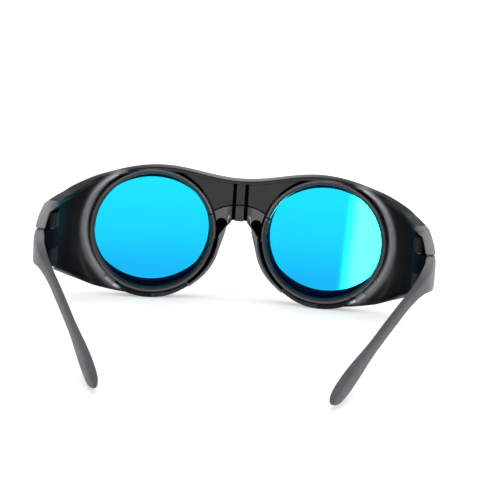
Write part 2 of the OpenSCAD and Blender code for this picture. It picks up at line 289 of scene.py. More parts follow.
def moved(bm: bmesh.types.BMesh, matrix: Matrix) -> bmesh.types.BMesh:
    """Moves a solid, and keeps its faces outwards when the matrix mirrors it.

    Args:
        bm: the solid.
        matrix: where it goes.

    Returns:
        The same bmesh.
    """
    bmesh.ops.transform(bm, matrix=matrix, verts=bm.verts)
    if matrix.determinant() < 0:
        bmesh.ops.reverse_faces(bm, faces=bm.faces)
    return bm


def mirrored(bm: bmesh.types.BMesh) -> bmesh.types.BMesh:
    """The same solid on the other side of the middle plane, as a new bmesh."""
    other = bm.copy()
    return moved(other, Matrix.Scale(-1, 4, (1, 0, 0)))


def as_object(bm: bmesh.types.BMesh, name: str) -> bpy.types.Object:
    """Makes an object of a bmesh and frees it.

    Args:
        bm: the shape.
        name: the object's name.

    Returns:
        The new object, linked to the scene.
    """
    mesh = bpy.data.meshes.new(name)
    bm.to_mesh(mesh)
    bm.free()
    obj = bpy.data.objects.new(name, mesh)
    bpy.context.scene.collection.objects.link(obj)
    return obj


def carve(bm: bmesh.types.BMesh,
          steps: Iterable[tuple[Step, bmesh.types.BMesh]]) -> bmesh.types.BMesh:
    """Adds solids to a blank and cuts others out of it, in order.

    Args:
        bm: the blank; it is used up, as the other solids are.
        steps: what to do and with which solid.

    Returns:
        The finished solid.
    """
    blank = as_object(bm, "blank")
    tools = []
    for count, (step, solid) in enumerate(steps):
        tool = as_object(solid, f"tool_{count}")
        modifier = blank.modifiers.new(f"step_{count}", "BOOLEAN")
        modifier.operation = step.value
        modifier.solver = "MANIFOLD"
        modifier.object = tool
        tools.append(tool)
    graph = bpy.context.evaluated_depsgraph_get()
    done = bmesh.new()
    done.from_mesh(blank.evaluated_get(graph).to_mesh())
    for obj in (blank, *tools):
        data = obj.data
        bpy.data.objects.remove(obj)
        bpy.data.meshes.remove(data)
    return done


def each(step: Step, solids: Iterable[bmesh.types.BMesh]) -> list[tuple[Step, bmesh.types.BMesh]]:
    """The same step for each solid, ready for carve."""
    return [(step, solid) for solid in solids]


# Sizes that several pieces share

@dataclass(frozen=True)
class PlanCurve:
    """Outer line of the shell seen from above: a flat arc, a tight corner and the wing."""

    front_y: float = 7.6
    front_r: float = 230.0
    corner_r: float = 20.0
    wing_r: float = 150.0
    corner_x: float = 59.5
    corner_a: float = 72.0
    wing_end_a: float = 81.4

    @cached_property
    def front_a(self) -> float:
        """Heading in degrees where the flat front turns into the corner."""
        return math.degrees(math.asin(self.corner_x / self.front_r))

    @cached_property
    def s_front(self) -> float:
        """Length of the front arc from the middle."""
        return self.front_r * math.radians(self.front_a)

    @cached_property
    def s_corner(self) -> float:
        """Length from the middle to the end of the corner."""
        return self.s_front + self.corner_r * math.radians(self.corner_a - self.front_a)

    @cached_property
    def s_end(self) -> float:
        """Length from the middle to the end of the wing."""
        return self.s_corner + self.wing_r * math.radians(self.wing_end_a - self.corner_a)

    def half(self, s: float) -> tuple[float, float, float]:
        """Place and heading on the right half.

        Args:
            s: arc length from the middle, not negative.

        Returns:
            x, y and the heading in radians.
        """
        fa, ca = math.radians(self.front_a), math.radians(self.corner_a)
        if s <= self.s_front:
            a = s / self.front_r
            return self.front_r * math.sin(a), self.front_y - self.front_r * (1 - math.cos(a)), a
        x = self.front_r * math.sin(fa)
        y = self.front_y - self.front_r * (1 - math.cos(fa))
        if s <= self.s_corner:
            a = fa + (s - self.s_front) / self.corner_r
            return (x + self.corner_r * (math.sin(a) - math.sin(fa)),
                    y - self.corner_r * (math.cos(fa) - math.cos(a)), a)
        x += self.corner_r * (math.sin(ca) - math.sin(fa))
        y -= self.corner_r * (math.cos(fa) - math.cos(ca))
        a = ca + (s - self.s_corner) / self.wing_r
        return (x + self.wing_r * (math.sin(a) - math.sin(ca)),
                y - self.wing_r * (math.cos(ca) - math.cos(a)), a)

    def at(self, s: float, depth: float, z: float) -> Vector:
        """A point at a depth inwards of the outer line.

        Args:
            s: arc length from the middle, negative on the left.
            depth: distance inwards.
            z: height.

        Returns:
            The point in millimetres.
        """
        x, y, a = self.half(abs(s))
        x -= depth * math.sin(a)
        return Vector((math.copysign(x, s) if s else 0.0, y - depth * math.cos(a), z))

    def inverse(self, x: float, y: float) -> tuple[float, float]:
        """Arc length and depth of a point, on either side.

        Args:
            x: its distance from the middle.
            y: its depth position.

        Returns:
            Arc length, not negative, and depth inwards of the outer line.
        """
        fa, ca = math.radians(self.front_a), math.radians(self.corner_a)
        s0, mx, my, r, a0 = 0.0, 0.0, self.front_y - self.front_r, self.front_r, 0.0
        a = math.atan2(abs(x) - mx, y - my)
        if a > fa:
            mx += (self.front_r - self.corner_r) * math.sin(fa)
            my += (self.front_r - self.corner_r) * math.cos(fa)
            s0, r, a0 = self.s_front, self.corner_r, fa
            a = math.atan2(abs(x) - mx, y - my)
        if a > ca and r == self.corner_r:
            mx += (self.corner_r - self.wing_r) * math.sin(ca)
            my += (self.corner_r - self.wing_r) * math.cos(ca)
            s0, r, a0 = self.s_corner, self.wing_r, ca
            a = math.atan2(abs(x) - mx, y - my)
        return s0 + (a - a0) * r, r - math.hypot(abs(x) - mx, y - my)


@dataclass(frozen=True)
class EyeSeat:
    """Where a filter lens sits, and the radii of what surrounds it."""

    x: float = 35.3
    y: float = -2.0
    z: float = 27.9
    wrap: float = 8.0
    lens_r: float = 24.4
    half_t: float = 1.5
    open_r: float = 23.4
    window_r: float = 23.6
    window_half_h: float = 21.7
    ring_r: float = 25.6
    rim_r: float = 27.9
    ring_depth: float = 2.1
    seam_a: float = 18.5
    hook_a: float = 60.0
    cheek_a: float = 18.0
    cheek_l: float = 14.0
    fit: float = 0.05
    trench_rear: float = -12.0

    @property
    def lip_y(self) -> float:
        """Rear face of the ring, along the lens axis."""
        return -self.half_t - self.ring_depth

    @property
    def pocket_r(self) -> float:
        """Radius of the pocket that holds the lens."""
        return self.lens_r + self.fit

    def ring_profile(self) -> list[tuple[float, float]]:
        """Rear face of the ring, from its outer edge to its inner one.

        Returns:
            Points as radius and Y.
        """
        rear = self.lip_y
        return [*arc(self.ring_r - 0.55, rear + 0.55, 0.55, 0, -90, 6),
                (self.open_r + 0.95, rear), *arc(self.open_r + 0.7, rear + 0.3, 0.3, -90, -150, 4),
                *arc(self.open_r + 0.4, rear + 1.5, 0.4, -150, -180, 4)]

    def cheek(self) -> list[tuple[float, float]]:
        """Outline of the straight cheek that narrows the nose arch, in the eye's frame.

        Returns:
            Corner points as X and Z.
        """
        a = math.radians(self.cheek_a)
        x, z = -(self.rim_r - 0.15) * math.cos(a), -(self.rim_r - 0.15) * math.sin(a)
        end = (x - self.cheek_l * math.sin(a), z + self.cheek_l * math.cos(a))
        return [(0.0, 0.0), (0.0, end[1]), end, (x, z)]

    def trench(self, width: float, front: float, a0: float, a1: float,
               steps: int) -> bmesh.types.BMesh:
        """Solid that cuts a gap along the outside of the ring.

        Args:
            width: how far its outer wall lies from the ring.
            front: how far forward it reaches.
            a0: start angle in degrees.
            a1: end angle.
            steps: number of steps.

        Returns:
            A closed solid.
        """
        inner, outer, rear = self.ring_r + self.fit, self.ring_r + width, self.trench_rear
        profile = [(inner, front), (outer, front), (outer, rear), (inner, rear)]
        return spun(profile, a0, a1, steps)

    def matrix(self) -> Matrix:
        """Takes a shape from the right eye's own frame to the glasses' frame."""
        turn = Matrix.Rotation(math.radians(-self.wrap), 4, "Z")
        return Matrix.Translation((self.x, self.y, self.z)) @ turn

    def both(self, bm: bmesh.types.BMesh) -> list[bmesh.types.BMesh]:
        """The solid at the right eye and its mirror image at the left."""
        right = moved(bm, self.matrix())
        return [right, mirrored(right)]


@dataclass(frozen=True)
class Layout:
    """Heights and places that the mouldings share, in millimetres."""

    plan: PlanCurve = field(default_factory=PlanCurve)
    eye: EyeSeat = field(default_factory=EyeSeat)
    brow_z: float = 54.7
    brow_mid_z: float = 50.4
    wing_top_z: float = 44.1
    wing_low_z: float = 18.9
    wing_round: float = 0.5
    bulge_z: float = 26.1
    arch_z: float = 33.4
    arch_drop: float = 2.5
    arch_w: float = 2.9
    arch_side_w: float = 5.2
    seam_mid_z: float = 19.9
    seam_r: float = 20.0
    channel_x: float = 7.1
    channel_z: float = 32.3
    seam_z: float = 32.6
    lug_z: float = 24.4
    leaf_h: float = 16.0
    knuckle_r: float = 1.95
    web_y: float = -1.2
    floor_y: float = 2.3
    axis_y: float = -34.5
    hinge_gap: float = 0.25

    @cached_property
    def axis_x(self) -> float:
        """Distance of a hinge axis from the middle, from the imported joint."""
        return abs(frame["joints"][0]["pos_m"][0]) / MM

    @cached_property
    def row_y(self) -> float:
        """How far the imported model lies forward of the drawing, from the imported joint."""
        return frame["joints"][0]["pos_m"][1] / MM - self.axis_y

    def finish(self, obj: bpy.types.Object, body: str, slot: str,
               *nodes: str) -> bpy.types.Object:
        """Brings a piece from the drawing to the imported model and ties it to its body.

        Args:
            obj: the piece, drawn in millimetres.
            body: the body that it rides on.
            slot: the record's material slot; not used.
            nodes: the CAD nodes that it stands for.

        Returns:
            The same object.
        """
        shift = Matrix.Translation((0, self.row_y, 0))
        obj.data.transform(Matrix.Scale(MM, 4) @ shift)
        obj.data.update()
        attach(obj, body)
        if nodes:
            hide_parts(*nodes)
        return obj


def smooth(obj: bpy.types.Object, angle: float = 32.0) -> None:
    """Shades a piece smooth between edges that are sharper than the angle, in degrees."""
    obj.data.shade_smooth()
    obj.data.set_sharp_from_angle(angle=math.radians(angle))


def spread_satin(mesh: bpy.types.Mesh, share: Callable[[Vector], float]) -> None:
    """Writes how much painted light each vertex gets, for the plastics to read.

    Args:
        mesh: the piece, still drawn in millimetres.
        share: gives the share from 0 to 1 at a point.
    """
    satin = mesh.attributes.new("satin", "FLOAT", "POINT")
    for v in mesh.vertices:
        satin.data[v.index].value = share(v.co)


# Finishes

class Nodes:
    """A short way to build the node tree of a material or a world."""

    def __init__(self, owner: bpy.types.Material | bpy.types.World) -> None:
        """Empties the owner's node tree and adds its coordinates.

        Args:
            owner: the material or the world.
        """
        owner.use_nodes = True
        self.tree = owner.node_tree
        self.tree.nodes.clear()
        self.coordinates = self.add("TexCoord")

    def add(self, kind: str, **values: float | tuple[float, ...]) -> bpy.types.Node:
        """Adds a node and sets its inputs.

        Args:
            kind: Blender's name for it, without ShaderNode.
            values: inputs by name, with an underscore for each space.

        Returns:
            The new node.
        """
        node = self.tree.nodes.new(f"ShaderNode{kind}")
        for name, value in values.items():
            node.inputs[name.replace("_", " ")].default_value = value
        return node

    def part(self, kind: str, axis: str) -> tuple[bpy.types.Node, str]:
        """Reads one axis of the coordinates.

        Args:
            kind: which coordinates.
            axis: X, Y or Z.

        Returns:
            The node and its socket to read.
        """
        split = self.add("SeparateXYZ")
        self.join(self.coordinates, kind, split, "Vector")
        return split, axis

    def join(self, a: bpy.types.Node, out: str | int, b: bpy.types.Node,
             into: str | int) -> None:
        """Links a socket of one node to a socket of another."""
        self.tree.links.new(a.outputs[out], b.inputs[into])

    def math(self, operation: str,
             *values: float | tuple[bpy.types.Node, str | int]) -> bpy.types.Node:
        """A sum or product of numbers and sockets.

        Args:
            operation: Blender's name for it.
            values: numbers, or nodes with the socket to read.

        Returns:
            The math node.
        """
        node = self.add("Math")
        node.operation = operation
        for i, value in enumerate(values):
            if isinstance(value, tuple):
                self.join(*value, node, i)
            else:
                node.inputs[i].default_value = value
        return node


class Surface(Nodes):
    """The node tree of a material with one principled shader."""

    def __init__(self, name: str, **values: float | tuple[float, ...]) -> None:
        """Starts a material.

        Args:
            name: the material's name.
            values: inputs of its shader, with an underscore for each space.
        """
        self.material = bpy.data.materials.new(name)
        super().__init__(self.material)
        self.shader = self.add("BsdfPrincipled", **values)
        self.join(self.shader, "BSDF", self.add("OutputMaterial"), "Surface")

    def noise(self, scale: float, detail: float, roughness: float = 0.5) -> bpy.types.Node:
        """Noise over the object's own coordinates.

        Args:
            scale: cells per metre.
            detail: octaves.
            roughness: strength of the small octaves.

        Returns:
            The noise node.
        """
        node = self.add("TexNoise", Scale=scale, Detail=detail, Roughness=roughness)
        self.join(self.coordinates, "Object", node, "Vector")
        return node

    def ramp(self, source: bpy.types.Node, out: str, into: str,
             stops: Sequence[tuple[float, tuple[float, ...]]]) -> bpy.types.Node:
        """A colour ramp from a value to a socket of the shader.

        Args:
            source: node that gives the value.
            out: its socket.
            into: the shader's socket.
            stops: places from 0 to 1 with their colours.

        Returns:
            The ramp node.
        """
        node = self.add("ValToRGB")
        elements = node.color_ramp.elements
        while len(elements) < len(stops):
            elements.new(0.5)
        for element, (place, colour) in zip(elements, stops):
            element.position = place
            element.color = (*colour[:3], 1.0)
        self.join(source, out, node, "Fac")
        self.join(node, "Color", self.shader, into)
        return node

    def mottle(self, source: bpy.types.Node, into: str, low: float | tuple[float, ...],
               high: float | tuple[float, ...]) -> bpy.types.Node:
        """A ramp from noise to a socket of the shader, between two colours or two numbers.

        Args:
            source: the noise node.
            into: the shader's socket.
            low: colour or number where the noise is low.
            high: the same where it is high.

        Returns:
            The ramp node.
        """
        low, high = ((value,) * 3 if isinstance(value, float) else value for value in (low, high))
        return self.ramp(source, "Fac", into, [(0.3, low), (0.7, high)])

    def bump(self, source: bpy.types.Node, strength: float, depth: float) -> bpy.types.Node:
        """A bump from a height to the shader's normal.

        Args:
            source: node whose Fac is the height.
            strength: share of the full bump.
            depth: height in metres.

        Returns:
            The bump node.
        """
        node = self.add("Bump", Strength=strength, Distance=depth)
        self.join(source, "Fac", node, "Height")
        self.join(node, "Normal", self.shader, "Normal")
        return node


@dataclass(frozen=True)
class Plastic:
    """A black moulded plastic with its own gloss and grain, and bands of painted light mixed into
    its colour.
    """

    name: str
    dark: tuple[float, float, float]
    light: tuple[float, float, float]
    rough_low: float
    rough_high: float
    grain: float
    grain_depth: float
    grain_strength: float
    # Colour that the painted light mixes in: painted highlights, or a painted blue glow on the
    # near-black.
    satin: tuple[float, float, float]
    edge_r: float = 0.00025
    specular: float = 0.5

    def material(self) -> bpy.types.Material:
        """Builds the material: mottled colour, uneven gloss, a fine grain and bands of painted
        light.

        Returns:
            The material.
        """
        nodes = Surface(self.name, Specular_IOR_Level=self.specular, IOR=1.5)
        broad = nodes.noise(90.0, 3.0)
        base = nodes.mottle(broad, "Base Color", self.dark, self.light)
        # Painted light: the vertex share mixes the mottled colour towards a light colour.
        band = nodes.add("Attribute")
        band.attribute_name = "satin"
        mix = nodes.add("Mix")
        mix.data_type = "RGBA"
        mix.inputs["B"].default_value = (*self.satin, 1.0)
        nodes.join(band, "Fac", mix, "Factor")
        nodes.join(base, "Color", mix, "A")
        nodes.join(mix, "Result", nodes.shader, "Base Color")
        fine = nodes.noise(420.0, 4.0, 0.6)
        nodes.mottle(fine, "Roughness", self.rough_low, self.rough_high)
        bump = nodes.bump(nodes.noise(self.grain, 2.0), self.grain_strength, self.grain_depth)
        edges = nodes.add("Bevel", Radius=self.edge_r)
        edges.samples = 6
        nodes.join(edges, "Normal", bump, "Normal")
        return nodes.material


@dataclass(frozen=True)
class FilterGlass:
    """Blue filter glass, tinted darker towards its lower edge as painted shade."""

    name: str = "filter_glass"
    upper: tuple[float, float, float] = (0.0090, 0.560, 0.790)
    middle: tuple[float, float, float] = (0.0085, 0.520, 0.780)
    lower: tuple[float, float, float] = (0.0080, 0.400, 0.780)
    low_z: float = 0.012
    high_z: float = 0.044
    ior: float = 1.08

    def material(self) -> bpy.types.Material:
        """Builds the glass.

        Returns:
            The material.
        """
        nodes = Surface(self.name, Transmission_Weight=1.0, Roughness=0.0, IOR=self.ior)
        # Painted shade: the tint darkens towards the lens's lower edge.
        span = nodes.add("MapRange", From_Min=self.low_z, From_Max=self.high_z)
        nodes.join(*nodes.part("Object", "Z"), span, "Value")
        nodes.ramp(span, "Result", "Base Color",
                   [(0.0, self.lower), (0.5, self.middle), (1.0, self.upper)])
        return nodes.material


@dataclass(frozen=True)
class Steel:
    """Turned steel of the hinge screws."""

    name: str = "screw_steel"
    dark: tuple[float, float, float] = (0.42, 0.42, 0.43)
    light: tuple[float, float, float] = (0.62, 0.62, 0.64)
    rough_low: float = 0.25
    rough_high: float = 0.4

    def material(self) -> bpy.types.Material:
        """Builds the steel: full metal with fine turning marks.

        Returns:
            The material.
        """
        nodes = Surface(self.name, Metallic=1.0)
        marks = nodes.noise(2600.0, 2.0)
        nodes.mottle(marks, "Base Color", self.dark, self.light)
        nodes.mottle(marks, "Roughness", self.rough_low, self.rough_high)
        return nodes.material


# The last colour of each plastic is painted light: painted highlights on the polished, grained and
# matte blacks, a painted blue glow on the near-black.
POLISHED = Plastic("polished_black", dark=(0.0028, 0.0033, 0.0042), light=(0.0050, 0.0057, 0.0068),
                   rough_low=0.18, rough_high=0.28, grain=1500.0, grain_depth=0.00002,
                   grain_strength=0.2, satin=(0.84, 0.87, 0.92), specular=0.42)
GRAINED = Plastic("grained_black", dark=(0.036, 0.038, 0.042), light=(0.048, 0.050, 0.054),
                  rough_low=0.46, rough_high=0.58, grain=3200.0, grain_depth=0.00006,
                  grain_strength=0.5, satin=(0.70, 0.70, 0.715))
# A duller, darker copy of the polished black: painted shade on the cup, the wing's inner faces and
# the brow's top.
MATTE = Plastic("matte_black", dark=(0.0012, 0.0015, 0.0020), light=(0.0022, 0.0026, 0.0034),
                rough_low=0.42, rough_high=0.52, grain=2400.0, grain_depth=0.00003,
                grain_strength=0.3, satin=(0.94, 0.96, 1.00), specular=0.18)
# Near-black that paints shade into the gaps, the ring's inner wall, the window's surround and the
# hinge knuckle.
DEEP = Plastic("shadow_black", dark=(0.0004, 0.0004, 0.0005), light=(0.0008, 0.0008, 0.0009),
               rough_low=0.80, rough_high=0.90, grain=2400.0, grain_depth=0.00003,
               grain_strength=0.3, satin=(0.012, 0.020, 0.040), specular=0.05)


# Pieces

@dataclass
class FrontShell:
    """The wraparound front: brow ledge, wings, raised rings, web and hinge lugs."""

    layout: Layout
    wall_t: float = 3.0
    wing_t: float = 3.7
    corner_t: float = 1.1
    brow_t: float = 1.9
    brow_depth: float = 6.4
    ledge_min: float = 1.6
    window_flat_r: float = 27.4
    bulge_mid_r: float = 110.0
    bulge_end_r: float = 37.0
    cup_r: float = 16.0
    cup_steep: float = 64.0
    cup_back: float = -14.73
    cup_mid_r: float = 21.28
    ring_front: float = 1.2
    rib_w: float = 3.4
    groove_w: float = 1.5
    gap_w: float = 0.8
    channel_w: float = 1.45
    channel_end_r: float = 2.35
    seam_gap: float = 0.5
    # Where the painted highlights lie: a band on the cup and a thin line on the ring's crest.
    band_r: float = 26.95
    band_in: float = 0.5
    band_out: float = 1.45
    crest_r: float = 25.15
    crest_w: float = 0.22
    crest_satin: float = 0.12
    brow_s: float = 34.0
    fall_s: float = 87.0
    low_s: tuple[float, float] = (31.0, 156.0)
    round_s: float = 90.0
    gap_a: tuple[float, float] = (112.0, 190.0)
    channel_a: tuple[float, float] = (178.0, 234.0)
    lip_a: tuple[float, float] = (236.0, 303.0)
    lip_slope_a: tuple[float, float] = (234.0, 262.0)
    lip_drop: float = 1.7

    def end_round(self, s: float) -> float:
        """How far both edges close in at the rear end of a wing."""
        return self.layout.wing_round * rise(s, self.round_s, self.layout.plan.s_end)

    def top_z(self, s: float) -> float:
        """Height of the top edge.

        Args:
            s: arc length from the middle, not negative.

        Returns:
            The height.
        """
        lay = self.layout
        return (lay.brow_mid_z + (lay.brow_z - lay.brow_mid_z) * rise(s, 0, self.brow_s)
                - (lay.brow_z - lay.wing_top_z) * rise(s, self.brow_s, self.fall_s)
                - self.end_round(s))

    def low_z(self, s: float) -> float:
        """Height of the bottom edge at arc length s."""
        end = rise(self.layout.plan.s_end, *self.low_s)
        return self.layout.wing_low_z * rise(s, *self.low_s) / end + self.end_round(s)

    def wall(self, s: float) -> float:
        """Thickness of the wall, with more inside the corner.

        Args:
            s: arc length from the middle, not negative.

        Returns:
            The thickness.
        """
        plan = self.layout.plan
        more = rise(s, plan.s_front - 2, plan.s_corner - 8)
        more *= 1 - rise(s, plan.s_corner - 8, plan.s_corner + 6)
        return (self.wall_t + (self.wing_t - self.wall_t) * rise(s, 60, plan.s_end)
                + self.corner_t * more)

    def ledge(self, s: float) -> float:
        """Depth of the brow ledge at arc length s."""
        more = self.brow_depth - self.wall_t - self.ledge_min
        return self.wall(s) + self.ledge_min + more * (1 - rise(s, 44, 84))

    def bulge(self, s: float, z: float) -> float:
        """How far the outer face falls back from the plan curve.

        Args:
            s: arc length from the middle, not negative.
            z: height.

        Returns:
            The distance inwards.
        """
        r = self.bulge_mid_r - (self.bulge_mid_r - self.bulge_end_r) * rise(
            s, 20, self.layout.plan.s_end)
        return r - math.sqrt(r * r - (z - self.layout.bulge_z) ** 2)

    def cup(self, s: float, z: float) -> float:
        """Depth of the cup that runs round the ring, where it meets a line through the wall.

        Args:
            s: arc length from the middle, not negative.
            z: height.

        Returns:
            Depth inwards of the outer face, or 0 away from the cup.
        """
        lay, eye = self.layout, self.layout.eye
        into = eye.matrix().inverted()
        steep = math.radians(self.cup_steep)
        edge_r = self.cup_mid_r + self.cup_r * math.sin(steep)
        out = self.bulge(s, z)

        def over(depth: float) -> float:
            """How far forward of the cup's face a point lies.

            Args:
                depth: its distance inwards of the outer face.

            Returns:
                The distance, negative behind the face.
            """
            q = into @ lay.plan.at(s, out + depth, z)
            r = math.hypot(q.x, q.z)
            fade = rise(r, 28.5, 35)
            r = max(r * (1 - fade) + abs(q.x) * fade, eye.ring_r + 0.3)
            if r < edge_r:
                face = self.cup_back + math.sqrt(self.cup_r ** 2 - (r - self.cup_mid_r) ** 2)
            else:
                face = (self.cup_back + self.cup_r * math.cos(steep)
                        - math.tan(steep) * (r - edge_r))
            return q.y - face

        near, far = 0.0, 13.0
        if over(near) <= 0:
            return 0.0
        for _ in range(18):
            mid = (near + far) / 2
            near, far = (mid, far) if over(mid) > 0 else (near, mid)
        q = into @ lay.plan.at(s, out + near, z)
        share = 1 - rise(abs(math.degrees(math.atan2(q.z, q.x))), 66, 84)
        return near * share

    def inner(self, s: float, z: float) -> float:
        """Depth of the inner face at height z: the wall, the cup and the room for the ledge.

        Args:
            s: arc length from the middle, not negative.
            z: height.

        Returns:
            Depth inwards of the outer face.
        """
        wall = self.wall(s)
        under, low = self.top_z(s) - self.brow_t, self.low_z(s)
        depth = blend_max(wall, self.cup(s, z), 0.8) if s > 24 else wall
        roof = self.ledge(s) - 1.0 + 12 * rise(under - z, 0.5, 9)
        rim = wall + 0.5 + 12 * rise(z - low, 2.4, 10)
        return max(wall, -blend_max(-depth, -min(roof, rim), 0.6))

    def outline(self, s: float) -> list[tuple[float, float]]:
        """Section of the shell at arc length s.

        Args:
            s: arc length from the middle, not negative.

        Returns:
            Points as depth inwards and height, always the same number.
        """
        t, zt, zb = self.wall(s), self.top_z(s), self.low_z(s)
        d, e = self.ledge(s), t + 0.7
        ut, ub = self.bulge(s, zt), self.bulge(s, zb)
        wall_n, under = 46, zt - self.brow_t
        points = [(self.bulge(s, z), z) for z in
                  (zb + 0.9 + (zt - zb - 1.8) * k / wall_n for k in range(wall_n + 1))]
        points += arc(ut + 0.9, zt - 0.9, 0.9, 162, 90, 4)
        points += arc(ut + d - 0.6, zt - 0.65, 0.6, 90, 0, 4)
        points += arc(ut + d - 0.5, under + 0.5, 0.5, 0, -90, 4)
        points += arc(ut + t + 1.2, under - 1.2, 1.2, 90, 180, 5)
        low, high = zb + 2.4, under - 2.2
        points += [(self.bulge(s, z) + self.inner(s, z), z) for z in
                   (high + (low - high) * k / wall_n for k in range(wall_n + 1))]
        points += arc(ub + e - 0.6, zb + 0.6, 0.6, 20, -90, 5)
        points += arc(ub + 0.9, zb + 0.9, 0.9, -90, -160, 4)
        return points

    def blank(self) -> bmesh.types.BMesh:
        """The bare shell from wing tip to wing tip.

        Returns:
            A closed solid.
        """
        plan = self.layout.plan
        fine = [0.0]
        while fine[-1] < plan.s_end - 1e-6:
            step = 0.9 if 50 < fine[-1] < 86 else 1.5
            fine.append(min(fine[-1] + step, plan.s_end))
        rows = [-s for s in reversed(fine[1:])] + fine
        outlines = {s: self.outline(s) for s in fine}
        count = len(outlines[0.0])

        def place(i: int, j: int) -> Vector:
            """Point j of the outline at station i."""
            depth, z = outlines[abs(rows[i])][j]
            return plan.at(rows[i], depth, z)

        return loft(len(rows), count, place)

    def ring(self) -> bmesh.types.BMesh:
        """Raised ring behind the right lens, all the way round.

        Returns:
            A closed solid in the eye's own frame.
        """
        eye = self.layout.eye
        return spun([(eye.ring_r, self.ring_front), *eye.ring_profile(),
                     (eye.open_r - 0.4, self.ring_front)], 0, 360, ROUND)

    def web(self) -> bmesh.types.BMesh:
        """Filled web between the rings, under the brow ledge.

        Returns:
            A closed solid.
        """
        lay, plan = self.layout, self.layout.plan
        rows = [26 - 0.4 * k for k in range(131)]
        n = 12
        edge = self.rib_w / 2 + self.groove_w

        def rear(x: float) -> float:
            """Depth position of the rear face, rounded off towards the grooves.

            Args:
                x: distance from the middle.

            Returns:
                Its place along Y.
            """
            off = abs(x) - edge
            if off < 0:
                return lay.web_y
            return lay.web_y + 0.35 * (1 - rise(off, -0.4, 1.0)) - 0.3 * rise(off, 3.0, 12.0)

        def place(i: int, j: int) -> Vector:
            """Where a point of the web's section lies.

            Args:
                i: station along the piece.
                j: point of the section.

            Returns:
                The place in millimetres.
            """
            s = rows[i]
            t = abs(s)
            zt = self.top_z(t) - 1
            zb = 26 + 9 * rise(t, 8, 26)
            if j <= n:
                z = zb + (zt - zb) * j / n
                return plan.at(s, self.bulge(t, z) + 1.4, z)
            z = zt + (zb - zt) * (j - n - 1) / n
            x, y, a = plan.half(t)
            return plan.at(s, (y - rear(x)) / math.cos(a), z)

        return loft(len(rows), 2 * n + 2, place)

    def grooves(self) -> list[bmesh.types.BMesh]:
        """The two upright grooves beside the rib in the middle of the bridge.

        Returns:
            The two cutting solids.
        """
        lay = self.layout
        x0, x1 = self.rib_w / 2, self.rib_w / 2 + self.groove_w
        top = self.top_z(0) - 1.4
        outline = [(x0, lay.arch_z - 8), (x1, lay.arch_z - 8), (x1, top), (x0, top)]
        right = slab(outline, lay.web_y - 8, lay.web_y + 1.9)
        return [right, mirrored(right)]

    def ring_gap(self) -> list[bmesh.types.BMesh]:
        """Deep gap between each ring and the web, running down into the channel."""
        eye = self.layout.eye
        return eye.both(eye.trench(self.gap_w, 1.6, *self.gap_a, 80))

    def channel(self) -> list[bmesh.types.BMesh]:
        """Deep channel between each ring and its nose flange, with its round upper end.

        Returns:
            The cutting solids of both sides.
        """
        lay, eye = self.layout, self.layout.eye
        upper = arc(lay.channel_x, lay.channel_z, self.channel_end_r, -8, 188, 40)
        upper += [(eye.x - eye.ring_r - w, eye.z - 1.0) for w in (self.channel_w, eye.fit)]
        top = slab(upper, -14.0, lay.floor_y - 1.0)
        run = eye.trench(self.channel_w, 1.4, *self.channel_a, 60)
        return [*eye.both(run), top, mirrored(top)]

    def gaps(self) -> list[bmesh.types.BMesh]:
        """All the solids that open gaps in the front and the retainer alike."""
        return [*self.ring_gap(), *self.channel(), *self.nose_arch(), *self.grooves()]

    def in_gap(self, point: Vector) -> bool:
        """Whether a point on a face lies inside a groove, a ring gap or a channel, where the
        near-black paints shade.

        Args:
            point: place of the face, in the drawing's millimetres.

        Returns:
            True inside a gap.
        """
        lay, eye = self.layout, self.layout.eye
        p = Vector((abs(point.x), point.y, point.z))
        q = eye.matrix().inverted() @ p
        r, a = math.hypot(q.x, q.z), math.degrees(math.atan2(q.z, q.x)) % 360
        deep = lay.web_y + 0.45 < p.y < lay.floor_y + 0.1
        if r < eye.open_r + 0.15 and eye.lip_y + 0.7 < q.y < -eye.half_t + 0.4:
            return True
        if (self.rib_w / 2 - 0.03 < p.x < self.rib_w / 2 + self.groove_w + 0.03
                and 30 < p.z < self.top_z(0) - 1.3):
            return deep
        half_gap = self.seam_gap / 2
        seam = abs(math.hypot(p.x, p.z - lay.seam_mid_z) - lay.seam_r - half_gap)
        if seam < half_gap + 0.03:
            return deep and p.z > 30
        if abs(a - 180 + eye.seam_a) < 0.7 and eye.open_r < r < 26:
            return q.y > eye.lip_y + 0.25
        off = r - eye.ring_r
        beside = self.gap_a[0] - 0.5 < a < 182 and -0.05 < off < self.gap_w + 0.05
        if beside and p.z < lay.brow_z - 1.5:
            return deep
        if 166 < a < 235 and -0.05 < off < self.channel_w + 0.05:
            return -1.3 < q.y < 1.5
        near = math.hypot(p.x - lay.channel_x, p.z - lay.channel_z) < self.channel_end_r + 0.05
        return near and lay.web_y - 0.6 < p.y < lay.floor_y - 0.8

    def satin(self, point: Vector) -> float:
        """How much painted light a face gets: most on the cup's band beside the ring as a painted
        highlight, with a thin painted highlight along the ring's crest and a painted blue glow
        behind the lens window.

        Args:
            point: place of the vertex, in the drawing's millimetres.

        Returns:
            A share from 0 to 1.
        """
        eye = self.layout.eye
        q = eye.matrix().inverted() @ Vector((abs(point.x), point.y, point.z))
        r, a = math.hypot(q.x, q.z), math.degrees(math.atan2(q.z, q.x))
        # Painted highlight along the ring's crest.
        if q.y < eye.lip_y + 1.2 and r < 27:
            return self.crest_satin * math.exp(-((r - self.crest_r) / self.crest_w) ** 2)
        # Painted blue glow on the near-black behind the lens window.
        if q.y > 1.2:
            return 1.0 if r < 25 else 0.0
        # Painted highlight band on the cup beside the ring.
        width = self.band_in if r < self.band_r else self.band_out
        band = math.exp(-((r - self.band_r) / width) ** 2)
        return band * (1 - rise(a, 40, 70)) * rise(a, -66, -56)

